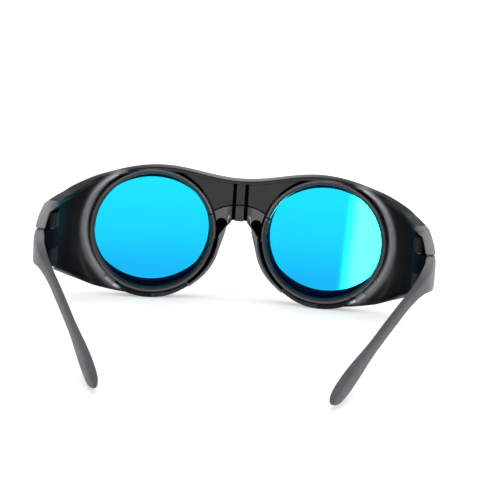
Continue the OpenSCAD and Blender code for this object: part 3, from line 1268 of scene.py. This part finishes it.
    def nose_arch(self) -> list[bmesh.types.BMesh]:
        """Solids that open the arch for the nose.

        Returns:
            The cutting solids.
        """
        lay, eye = self.layout, self.layout.eye
        w, side, low = lay.arch_w, lay.arch_side_w, lay.arch_z - lay.arch_drop
        outline = [(-w, lay.arch_z), (w, lay.arch_z), (side, low), (side, eye.z - 5),
                   (-side, eye.z - 5), (-side, low)]
        mid, deep = eye.x + 2.3, eye.rim_r + 8
        block = slab([(-mid, -deep), (0, -deep), (0, low - eye.z), (-mid, low - eye.z)], -30, 30)
        block = carve(block, [(Step.CUT, disc(eye.rim_r, -31, 31)),
                              (Step.CUT, slab(eye.cheek(), -31, 31))])
        return [slab(outline, -20, 20), *eye.both(block)]

    def window(self) -> bmesh.types.BMesh:
        """Opening in front of the right lens: a circle flattened above and below.

        Returns:
            The cutting solid, in the eye's own frame.
        """
        eye = self.layout.eye
        flat_r, points = self.window_flat_r, []
        for k in range(ROUND):
            a = 2 * math.pi * k / ROUND
            c, s = math.cos(a), math.sin(a)
            off = flat_r - eye.window_half_h
            flat = -off * abs(s) + math.sqrt(flat_r ** 2 - (off * c) ** 2)
            r = min(eye.window_r, flat)
            points.append((r * c, r * s))
        return slab(points, eye.half_t - 0.2, 20)

    def lugs(self) -> list[bmesh.types.BMesh]:
        """Hinge lugs above and below the temple's knuckle, on the right.

        Returns:
            The lower lug and the upper one.
        """
        lay = self.layout
        x, y, k = lay.axis_x, lay.axis_y, lay.knuckle_r
        outline = arc(x, y, k, 180, 360, 24)
        outline += [(x + k, y + 3.4), (x + 3.2, y + 4.2), (x + 0.6, y + 11),
                    (x - 0.8, y + 11), (x - k, y + 5)]
        heights = ((lay.seam_z - lay.leaf_h + 0.6, lay.lug_z), (lay.seam_z, lay.seam_z + 6))
        return [upright(outline, z0, z1) for z0, z1 in heights]

    def temple_room(self) -> bmesh.types.BMesh:
        """Block that cuts the lower rear corner of the right wing away for the temple.

        Returns:
            The cutting solid.
        """
        lay = self.layout
        y1 = lay.axis_y + 3 + lay.hinge_gap + 0.32
        return upright([(65, y1 - 20), (95, y1 - 20), (95, y1), (65, y1)],
                       lay.seam_z - 30, lay.seam_z)

    def lip(self) -> bmesh.types.BMesh:
        """Part of the right rim behind the retainer, below the lens, rising from the flange.

        Returns:
            A closed solid in the eye's own frame.
        """
        eye = self.layout.eye
        rear = eye.lip_y
        profile = [(26.1, -1.0), (eye.rim_r, -1.0), (eye.rim_r, rear + 0.5),
                   (eye.rim_r - 0.15, rear + 0.15), (eye.rim_r - 0.5, rear), (26.35, rear),
                   (26.1, rear + 0.25)]
        bm = spun(profile, *self.lip_a, 90)
        for v in bm.verts:
            if v.co.y < -1.2:
                a = math.degrees(math.atan2(v.co.z, v.co.x)) % 360
                v.co.y += self.lip_drop * (1 - rise(a, *self.lip_slope_a))
        return bm

    def bridge_seat(self) -> bmesh.types.BMesh:
        """Solid that clears the seat of the retainer's bridge.

        Returns:
            The cutting solid.
        """
        lay, eye = self.layout, self.layout.eye
        seat = disc(lay.seam_r + self.seam_gap, -20, lay.floor_y, 0.0, lay.seam_mid_z)
        low = slab([(-40, -40), (40, -40), (40, 26), (-40, 26)], -30, 30)
        guard = wedge(eye.ring_r + 0.15, 90, 180 - eye.seam_a, -20, 20)
        core = disc(eye.ring_r - 0.2, -eye.half_t, 20)
        cuts = [low, *eye.both(guard), *eye.both(core)]
        return carve(seat, each(Step.CUT, cuts))

    def build(self, finishes: Sequence[bpy.types.Material]) -> bpy.types.Object:
        """Makes the front and dresses it.

        Args:
            finishes: polished, grained, a duller matte black that paints shade on the cup, the
                wing's inner faces and the brow's top, and the near-black that paints shade into the
                gaps, in this order.

        Returns:
            The finished piece.
        """
        lay, eye = self.layout, self.layout.eye
        room = self.temple_room()
        steps = [*each(Step.CUT, (mirrored(room), room)), (Step.JOIN, self.web())]
        boss = slab([(0.0, 0.0), *arc(0, 0, eye.rim_r, 148, 312, 90)],
                    -eye.half_t, eye.half_t + 1.1)
        cheek = slab(eye.cheek(), -eye.half_t, eye.half_t + 1.1)
        for solid in (disc(eye.ring_r + 0.3, 0.6, eye.half_t + 1.6), boss, cheek,
                      self.ring(), self.lip()):
            steps += each(Step.JOIN, eye.both(solid))
        for lug in self.lugs():
            steps += each(Step.JOIN, (mirrored(lug), lug))
        for solid in (disc(eye.pocket_r, -eye.half_t, eye.half_t),
                      disc(eye.open_r, -20, -eye.half_t + 0.2), self.window(),
                      wedge(27.2, 180 - eye.seam_a - 0.5, 360 - eye.hook_a + 0.5, -20,
                            -eye.half_t)):
            steps += each(Step.CUT, eye.both(solid))
        steps += each(Step.JOIN, eye.both(self.lip()))
        steps += each(Step.CUT, (self.bridge_seat(), *self.gaps()))
        piece = as_object(carve(self.blank(), steps), "front_shell")
        for finish in finishes:
            piece.data.materials.append(finish)
        self.paint(piece.data)
        smooth(piece)
        return lay.finish(piece, "front", "shell", "front_frame")

    def paint(self, mesh: bpy.types.Mesh) -> None:
        """Gives each face its finish or its painted shade, and each vertex its share of painted
        light.

        Args:
            mesh: the front, still drawn in millimetres.
        """
        lay, plan = self.layout, self.layout.plan
        into = lay.eye.matrix().inverted()
        for face in mesh.polygons:
            c, n = face.center, face.normal
            s, depth = plan.inverse(c.x, c.y)
            q = into @ Vector((abs(c.x), c.y, c.z))
            outside = depth - self.bulge(s, min(c.z, 54)) < 0.35 and n.z < 0.5
            end = s > plan.s_end - 0.3 and n.y < -0.5
            r = math.hypot(q.x, q.z)
            window = q.y > -1.6 and r < 25 and not outside
            # Painted shade: gaps, seams, the ring's inner wall and the window's surround get the
            # near-black.
            if self.in_gap(c) or window:
                face.material_index = Coat.DEEP
            elif end or outside:
                face.material_index = Coat.GRAINED
            # Painted shade: the cup round the ring, the wing's inner faces and the brow's top get
            # the duller, darker copy of the polished black.
            elif (s > 36 and depth > 1 and r > 25.8) or n.z > 0.5 and c.z > self.top_z(s) - 1:
                face.material_index = Coat.MATTE

        def share(point: Vector) -> float:
            """The most of a painted sheen on the wing's end, a painted highlight on the top of the
            brow and the cup's painted light.

            Args:
                point: place of the vertex, in the drawing's millimetres.

            Returns:
                A share from 0 to 1.
            """
            s, depth = plan.inverse(point.x, point.y)
            depth -= self.bulge(s, min(point.z, 54))
            # Painted sheen on the wing's end and painted highlight along the brow's top.
            at_end = 0.3 * (1 - rise(depth, 2.6, 5.5)) if s > plan.s_end - 0.6 else 0.0
            top = 0.17 * (1 - rise(s, 8, 50)) if point.z > self.top_z(s) - 0.4 else 0.0
            return max(at_end, top, self.satin(point) if depth > 0.4 else 0.0)

        spread_satin(mesh, share)


@dataclass
class LensRetainer:
    """The clip-in moulding that holds both lenses: bridge, ring parts and nose flanges."""

    layout: Layout
    front: FrontShell
    flange_h: float = 3.2
    flange_mid_z: float = 18.8
    ramp: float = 1.7
    flange_satin: float = 0.17
    flange_a: tuple[float, float] = (160.0, 236.0)
    foot_a: tuple[float, float] = (222.0, 235.0)

    def ring(self) -> bmesh.types.BMesh:
        """The retainer's share of the right ring, wider towards its hooked end.

        Returns:
            A closed solid in the eye's own frame.
        """
        eye = self.layout.eye
        front = -eye.half_t
        profile = [(eye.ring_r, front), *eye.ring_profile(), (eye.open_r, front)]
        bm = spun(profile, 180 - eye.seam_a + 0.6, 360 - eye.hook_a, 140)
        for v in bm.verts:
            r, a = math.hypot(v.co.x, v.co.z), math.atan2(v.co.z, v.co.x)
            more = (0.15 + 0.3 * math.cos(a) - 0.12 * math.sin(a)) * rise(r, 24.6, eye.ring_r)
            v.co.x += more * math.cos(a)
            v.co.z += more * math.sin(a)
        return bm

    def bridge(self) -> bmesh.types.BMesh:
        """The W-shaped plate over the nose, whose flanks lean back towards the flanges.

        Returns:
            A closed solid.
        """
        lay = self.layout
        x_half, z_low, z_high = 16.0, 26.0, 42.0
        bm = bmesh.new()
        bmesh.ops.create_grid(bm, x_segments=160, y_segments=80, size=1.0)
        edge = self.front.rib_w / 2 + self.front.groove_w
        for v in bm.verts:
            x = v.co.x * x_half
            z = z_low + (v.co.y + 1) / 2 * (z_high - z_low)
            lean = self.ramp * rise(40.5 - z, 0, 11)
            flank = rise(abs(x), edge - 0.2, edge + 1.9)
            v.co = (x, lay.web_y - lean * flank, z)
        grown = bmesh.ops.extrude_face_region(bm, geom=bm.faces[:])["geom"]
        for v in grown:
            if isinstance(v, bmesh.types.BMVert):
                v.co.y = lay.floor_y
        tidy(bm)
        eye = lay.eye
        gap = self.front.seam_gap
        guard = wedge(eye.ring_r + 0.15 + gap, 90, 180 - eye.seam_a + 0.5, -20, 20)
        cuts = [*eye.both(guard), *eye.both(disc(eye.ring_r - 0.15, -eye.half_t, 20)),
                *eye.both(disc(eye.open_r + 1.4, -20, 20)),
                *eye.both(slab([(-40, -60), (0, -60), (0, -2), (-40, -2)], -20, 20))]
        steps = [(Step.KEEP, disc(lay.seam_r, -20, 20, 0.0, lay.seam_mid_z))]
        return carve(bm, steps + each(Step.CUT, cuts))

    def flange(self) -> bmesh.types.BMesh:
        """The right nose flange, whose rear edge follows a long arc.

        Returns:
            A closed solid.
        """
        lay, eye = self.layout, self.layout.eye
        half = lay.arch_z - self.flange_mid_z
        r = (self.flange_h ** 2 + half ** 2) / (2 * self.flange_h)
        y = lay.web_y - self.flange_h + r
        long_arc = arc(y, self.flange_mid_z, r, 120, 240, 200)
        bm = slab(long_arc, 0, 40)
        barrel = moved(bm, Matrix(((0, 1, 0, 0), (1, 0, 0, 0), (0, 0, 1, 0), (0, 0, 0, 1))))
        blank = carve(disc(eye.rim_r, -20, -eye.half_t), [
            (Step.JOIN, slab(eye.cheek(), -20, -eye.half_t)),
            (Step.CUT, disc(eye.ring_r + 1.4, -30, 30)),
            (Step.KEEP, wedge(50, *self.flange_a, -30, 30))])
        return carve(moved(blank, eye.matrix()), [(Step.KEEP, barrel)])

    def foot(self) -> bmesh.types.BMesh:
        """Short piece that ties the flange's lower end to the ring.

        Returns:
            A closed solid in the eye's own frame.
        """
        eye = self.layout.eye
        return slab([*arc(0, 0, eye.rim_r, *self.foot_a, 20),
                     *reversed(arc(0, 0, eye.rim_r - 3, *self.foot_a, 20))],
                    eye.lip_y + 0.5, -eye.half_t)

    def paint(self, mesh: bpy.types.Mesh) -> None:
        """Paints shade into the gaps with the near-black, and painted highlights on the crest, the
        patches and the flanges.

        Args:
            mesh: the retainer, still drawn in millimetres.
        """
        lay, eye = self.layout, self.layout.eye
        into = eye.matrix().inverted()
        for face in mesh.polygons:
            # Painted shade: faces in the gaps get the near-black.
            if self.front.in_gap(face.center):
                face.material_index = 1

        def share(point: Vector) -> float:
            """The painted highlights on the patches of the bridge and on the flanges, or what the
            front has there.

            Args:
                point: place of the vertex, in the drawing's millimetres.

            Returns:
                A share from 0 to 1.
            """
            q = into @ Vector((abs(point.x), point.y, point.z))
            r = math.hypot(q.x, q.z)
            # Painted highlights: patches on the bridge's flanks, then the flanges.
            if point.z > lay.arch_z - lay.arch_drop - 0.5 and r > 26.2:
                flank = rise(abs(point.x), 3.2, 6.0) if point.y < lay.web_y + 0.3 else 0.0
                return 0.02 + 0.11 * flank
            return self.flange_satin if r > 26.9 and q.y < 0 else self.front.satin(point)

        spread_satin(mesh, share)

    def build(self, polished: bpy.types.Material,
              deep: bpy.types.Material) -> bpy.types.Object:
        """Makes the retainer and dresses it.

        Args:
            polished: its finish.
            deep: the near-black that paints shade into the gaps.

        Returns:
            The finished piece.
        """
        lay, eye = self.layout, self.layout.eye
        flange = self.flange()
        parts = [*eye.both(self.ring()), flange, mirrored(flange), *eye.both(self.foot())]
        steps = each(Step.JOIN, parts) + each(Step.CUT, self.front.gaps())
        piece = as_object(carve(self.bridge(), steps), "clip_retainer")
        piece.data.materials.append(polished)
        piece.data.materials.append(deep)
        self.paint(piece.data)
        smooth(piece)
        return lay.finish(piece, "front", "retainer", "lens_retainer")


@dataclass
class Temple:
    """A temple: hinge leaf, slim arm and broad end, with its knuckle."""

    layout: Layout
    side: Side
    leaf_t: float = 4.0
    arm_h: float = 5.8
    arm_t: float = 2.7
    paddle_h: float = 8.0
    paddle_t: float = 3.9
    length: float = 126.0
    screw_r: float = 0.85
    root_satin: float = 0.3
    broad_s: tuple[float, float] = (74.0, 106.0)
    bend: tuple[tuple[float, float], ...] = ((0, -8), (2, -6), (11, 13), (20, 19), (50, 19.5),
                                             (90, 18), (130, 15))

    def heading(self, s: float) -> float:
        """Angle in radians between the temple and straight back, at a distance along it."""
        return math.radians(curve(s, self.bend))

    def half_high(self, s: float) -> float:
        """Half height of the temple.

        Args:
            s: distance from its front face.

        Returns:
            Half the height.
        """
        leaf_h = self.layout.leaf_h
        h = (leaf_h / 2 + (self.arm_h - leaf_h) / 2 * rise(s, -2, 30) ** 0.8
             + (self.paddle_h - self.arm_h) / 2 * rise(s, *self.broad_s))
        e = max(0.0, (s - self.length + 21) / 21)
        return h * math.sqrt(max(0.01, 1 - e ** 2.2))

    def half_thick(self, s: float) -> float:
        """Half thickness of the temple.

        Args:
            s: distance from its front face.

        Returns:
            Half the thickness.
        """
        h = (self.leaf_t / 2 + (self.arm_t - self.leaf_t) / 2 * rise(s, 8, 44)
             + (self.paddle_t - self.arm_t) / 2 * rise(s, *self.broad_s))
        e = max(0.0, (s - self.length + 12) / 12)
        return h * math.sqrt(max(0.03, 1 - e ** 2.4))

    def line_z(self, s: float) -> float:
        """Height of the temple's middle line.

        Args:
            s: distance from its front face.

        Returns:
            The height.
        """
        z = self.layout.seam_z - self.layout.hinge_gap - self.layout.leaf_h / 2
        return curve(s, ((0, z), (7, z + 0.5), (15, z - 0.1), (24, z - 1.6),
                         (self.length - 8.5, self.paddle_h / 2),
                         (self.length, self.paddle_h / 2 - 0.46)))

    def arm(self) -> bmesh.types.BMesh:
        """The right temple from its front face to its rounded tip.

        Returns:
            A closed solid.
        """
        lay = self.layout
        steps = [1.0 * k for k in range(117)]
        steps += [self.length - d for d in (8.5, 7.6, 6.6, 5.6, 4.6, 3.7, 2.9, 2.2, 1.6, 1.1,
                                            0.7, 0.4, 0.15, 0.0)]
        path = [(lay.axis_x + 4.2, lay.axis_y + 3)]
        for a, b in zip(steps, steps[1:]):
            h = self.heading((a + b) / 2)
            x, y = path[-1]
            path.append((x - (b - a) * math.sin(h), y - (b - a) * math.cos(h)))
        count = 64

        def place(i: int, j: int) -> Vector:
            """Where a point of the section lies.

            Args:
                i: station along the piece.
                j: point of the section.

            Returns:
                The place in millimetres.
            """
            s = steps[i]
            h, n = self.heading(s), 5 - 2.6 * rise(s, 6, 40)
            v = 2 * math.pi * j / count
            c, d = math.cos(v), math.sin(v)
            u = self.half_thick(s) * math.copysign(abs(c) ** (2 / n), c)
            w = self.half_high(s) * math.copysign(abs(d) ** (2 / n), d)
            x, y = path[i]
            return Vector((x + u * math.cos(h), y - u * math.sin(h), self.line_z(s) + w))

        return loft(len(steps), count, place)

    def paint(self, mesh: bpy.types.Mesh) -> None:
        """Paints shade on the knuckle with the near-black and painted light on the root, paler
        towards the hinge.

        Args:
            mesh: the temple, still drawn in millimetres.
        """
        lay = self.layout
        edge = lay.axis_x + lay.knuckle_r + 0.5
        # Painted shade: the knuckle's faces get the near-black.
        for face in mesh.polygons:
            corners = [mesh.vertices[i].co for i in face.vertices]
            if min(abs(v.x) for v in corners) < edge and min(v.y for v in corners) > lay.axis_y - 3:
                face.material_index = 1
        # Painted light: the root grows paler towards the hinge.
        spread_satin(mesh, lambda point: self.root_satin
                     * (1 - rise(lay.axis_y + 3 - point.y, 0.0, 26.0)))

    def build(self, grained: bpy.types.Material,
              deep: bpy.types.Material) -> bpy.types.Object:
        """Makes the temple and dresses it.

        Args:
            grained: its finish.
            deep: the near-black that paints shade on the knuckle.

        Returns:
            The finished piece.
        """
        lay = self.layout
        x, y, k = lay.axis_x, lay.axis_y, lay.knuckle_r
        z0, z1 = lay.lug_z + lay.hinge_gap, lay.seam_z - lay.hinge_gap
        knuckle = upright(arc(x, y, k, 0, 352.5, 47), z0, z1 - 0.2)
        leaf = upright([(x, y - k), (x + k + 1.6, y - k), (x + k + 1.6, y + k), (x, y + k)],
                       z0, z1 - 0.8)
        hole = upright(arc(x, y, self.screw_r, 0, 345, 23), 0, 60)
        bm = carve(self.arm(), [(Step.JOIN, knuckle), (Step.JOIN, leaf), (Step.CUT, hole)])
        name = "right" if self.side is Side.RIGHT else "left"
        if self.side is Side.LEFT:
            bm = moved(bm, Matrix.Scale(-1, 4, (1, 0, 0)))
        piece = as_object(bm, f"{name}_arm_smooth")
        piece.data.materials.append(grained)
        piece.data.materials.append(deep)
        self.paint(piece.data)
        smooth(piece)
        return lay.finish(piece, f"{name}_arm", "temple", f"{name}_temple")


@dataclass(frozen=True)
class KeptPieces:
    """Pieces that keep the meshes that the CAD made: the lenses and the hinge screws."""

    slot: str
    nodes: tuple[str, ...]

    def build(self, finish: bpy.types.Material) -> list[bpy.types.Object]:
        """Gives the pieces their finish.

        Args:
            finish: the glass or the steel.

        Returns:
            The pieces.
        """
        pieces = [frame["nodes"][name] for name in self.nodes]
        for piece in pieces:
            piece.data.materials.clear()
            piece.data.materials.append(finish)
        return pieces


# Studio

@dataclass(frozen=True)
class PhotoCamera:
    """The camera behind the wearer's side, a little above, as the photograph was taken."""

    distance: float = 800.0
    elevation: float = 11.5
    yaw: float = 2.0
    roll: float = 3.5
    target_z: float = 27.9
    px_per_mm: float = 2.44
    image_px: float = 480.0
    target_px: tuple[float, float] = (238.5, 234.0)

    def build(self, row_y: float) -> bpy.types.Object:
        """Makes the camera and sets it as the scene's.

        Args:
            row_y: how far the glasses lie forward of the drawing's origin.

        Returns:
            The camera object.
        """
        e, w = math.radians(self.elevation), math.radians(self.yaw)
        back = Vector((math.sin(w) * math.cos(e), -math.cos(w) * math.cos(e), math.sin(e)))
        focal = self.px_per_mm * self.distance
        right = (-back).cross(Vector((0, 0, 1))).normalized()
        up = right.cross(-back)
        c, s = math.cos(math.radians(self.roll)), math.sin(math.radians(self.roll))
        right, up = right * c + up * s, up * c - right * s
        half = self.image_px / 2
        dx, dy = (self.target_px[0] - half) / focal, (self.target_px[1] - half) / focal
        forward = (-back - right * dx + up * dy).normalized()
        right = (right - forward * right.dot(forward)).normalized()
        up = right.cross(forward)
        data = bpy.data.cameras.new("photo_camera")
        data.sensor_width = 36.0
        data.lens = focal * data.sensor_width / self.image_px
        data.clip_start, data.clip_end = 0.05, 20.0
        camera = bpy.data.objects.new("photo_camera", data)
        bpy.context.scene.collection.objects.link(camera)
        place = (back * self.distance + Vector((0, row_y, self.target_z))) * MM
        turn = Matrix((right, up, -forward)).transposed()
        camera.matrix_world = Matrix.Translation(place) @ turn.to_4x4()
        bpy.context.scene.camera = camera
        return camera


@dataclass(frozen=True)
class Studio:
    """Pale floor, white surroundings and soft lamps."""

    floor_half: float = 8.0
    floor_grey: float = 0.84
    floor_lift: float = 0.36
    far_lift: float = 0.5
    near_r: float = 0.16
    far_r: float = 0.60
    rear_light: float = 0.13
    front_light: float = 0.78
    pane_x: float = 0.0433
    pane_lean: float = 0.0324
    pane_light: float = 21.0
    pane_width: float = 0.026
    lamp_a: float = 56.0
    pane_edge: tuple[float, float] = (-0.0045, 0.0055)
    pane_soft: float = 2.6
    rear_y: float = -0.55
    front_y: float = 0.35
    top_size: tuple[float, float] = (1.5, 1.2)
    top_power: float = 10.0
    side_size: tuple[float, float] = (0.16, 0.6)
    side_power: float = 7.0

    def floor(self, row_y: float) -> bpy.types.Object:
        """A wide floor that the camera sees as white, apart from its shadows.

        Args:
            row_y: how far the glasses lie forward of the drawing's origin, in millimetres.

        Returns:
            The floor object.
        """
        bm = bmesh.new()
        bmesh.ops.create_grid(bm, x_segments=8, y_segments=8, size=self.floor_half)
        floor = as_object(bm, "floor")
        white = (1.0, 1.0, 1.0, 1.0)
        nodes = Surface("floor_white", Roughness=0.6, Specular_IOR_Level=0.2,
                        Emission_Color=white)
        nodes.mottle(nodes.noise(40.0, 2.0), "Base Color", self.floor_grey,
                     self.floor_grey + 0.01)
        path = nodes.add("LightPath")
        seen = nodes.math("MAXIMUM", (path, "Is Camera Ray"), (path, "Is Transmission Ray"))
        seen = nodes.math("MAXIMUM", (seen, 0), (path, "Is Glossy Ray"))
        reach = nodes.add("VectorMath")
        reach.operation = "LENGTH"
        nodes.join(nodes.coordinates, "Object", reach, "Vector")
        far = nodes.add("MapRange", From_Min=self.near_r, From_Max=self.far_r,
                        To_Min=self.floor_lift, To_Max=self.floor_lift + self.far_lift)
        nodes.join(reach, "Value", far, "Value")
        lift = nodes.math("MULTIPLY", (seen, 0), (far, "Result"))
        # Painted light: a glowing strip of floor, seen only through the lens.
        strip = self.strip(nodes, row_y)
        through = nodes.math("MULTIPLY", (strip, 0), (path, "Is Transmission Ray"))
        total = nodes.math("ADD", (lift, 0), (through, 0))
        nodes.join(total, 0, nodes.shader, "Emission Strength")
        floor.data.materials.append(nodes.material)
        return floor

    def strip(self, nodes: Surface, row_y: float) -> bpy.types.Node:
        """Strength of a painted glow: a strip of floor that shines only for rays through the lens,
        giving the bright band on the right lens.

        Args:
            nodes: the floor's node tree.
            row_y: how far the glasses lie forward of the drawing's origin, in millimetres.

        Returns:
            The node that gives the strength.
        """
        ahead = nodes.math("ADD", nodes.part("Object", "Y"), -row_y * MM)
        edge = nodes.math("MULTIPLY", (ahead, 0), self.pane_lean)
        edge = nodes.math("ADD", (edge, 0), self.pane_x)
        off = nodes.math("SUBTRACT", nodes.part("Object", "X"), (edge, 0))
        pane = nodes.add("MapRange", From_Min=self.pane_edge[0], From_Max=self.pane_edge[1])
        pane.interpolation_type = "SMOOTHSTEP"
        nodes.join(off, 0, pane, "Value")
        soft = nodes.math("POWER", (pane, "Result"), self.pane_soft)
        inside = nodes.math("LESS_THAN", (off, 0), self.pane_width)
        soft = nodes.math("MULTIPLY", (soft, 0), (inside, 0))
        return nodes.math("MULTIPLY", (soft, 0), self.pane_light)

    def world(self) -> None:
        """White ahead of the camera and in it, a dim room behind it."""
        world = bpy.data.worlds.new("studio")
        bpy.context.scene.world = world
        nodes = Nodes(world)
        path = nodes.add("LightPath")
        span = nodes.add("MapRange", From_Min=self.rear_y, From_Max=self.front_y,
                         To_Min=self.rear_light, To_Max=self.front_light)
        span.interpolation_type = "SMOOTHSTEP"
        nodes.join(*nodes.part("Generated", "Y"), span, "Value")
        seen = nodes.math("MAXIMUM", (path, "Is Camera Ray"), (path, "Is Transmission Ray"))
        level = nodes.math("MAXIMUM", (span, "Result"), (seen, 0))
        room = nodes.add("Background", Color=(1.0, 1.0, 1.0, 1.0))
        nodes.join(level, 0, room, "Strength")
        nodes.join(room, 0, nodes.add("OutputWorld"), "Surface")

    def lamp(self, name: str, place: Vector, aim: Vector, size: tuple[float, float],
             power: float) -> bpy.types.Object:
        """A rectangular soft lamp.

        Args:
            name: its name.
            place: where it hangs, in metres.
            aim: the point that it faces.
            size: width and height in metres.
            power: watts.

        Returns:
            The lamp object.
        """
        data = bpy.data.lights.new(name, "AREA")
        data.shape = "RECTANGLE"
        data.size, data.size_y = size
        data.energy = power
        lamp = bpy.data.objects.new(name, data)
        bpy.context.scene.collection.objects.link(lamp)
        turn = (aim - place).to_track_quat("-Z", "Y").to_matrix().to_4x4()
        lamp.matrix_world = Matrix.Translation(place) @ turn
        return lamp

    def build(self, row_y: float) -> None:
        """Sets up floor, surroundings and lamps.

        Args:
            row_y: how far the glasses lie forward of the drawing's origin, in millimetres.
        """
        self.floor(row_y)
        self.world()
        aim = Vector((0, row_y * MM, 0.03))
        self.lamp("top_softbox", aim + Vector((0.0, -0.15, 1.3)), aim, self.top_size,
                  self.top_power)
        for side in Side:
            a = math.radians(self.lamp_a)
            way = Vector((math.sin(a) * side.value, -math.cos(a), 0.22))
            self.lamp(f"strip_{side.name.lower()}", aim + way * 1.2, aim,
                      self.side_size, self.side_power)


def main() -> None:
    """Builds every piece, the studio and the camera."""
    logging.basicConfig(level=logging.INFO, format="%(name)s: %(message)s")
    layout = Layout()
    PhotoCamera().build(layout.row_y)
    Studio().build(layout.row_y)
    finishes = [finish.material() for finish in (POLISHED, GRAINED, MATTE, DEEP)]
    polished, grained, _, deep = finishes
    front = FrontShell(layout)
    made = [front.build(finishes), LensRetainer(layout, front).build(polished, deep)]
    made += [Temple(layout, side).build(grained, deep) for side in Side]
    made += KeptPieces("lens", ("left_lens", "right_lens")).build(FilterGlass().material())
    made += KeptPieces("screw", ("hinge_screws",)).build(Steel().material())
    for piece in made:
        log.info("%s: %d faces", piece.name, len(piece.data.polygons))
    bpy.context.scene.view_settings.view_transform = "Standard"


if __name__ == "__main__":
    main()
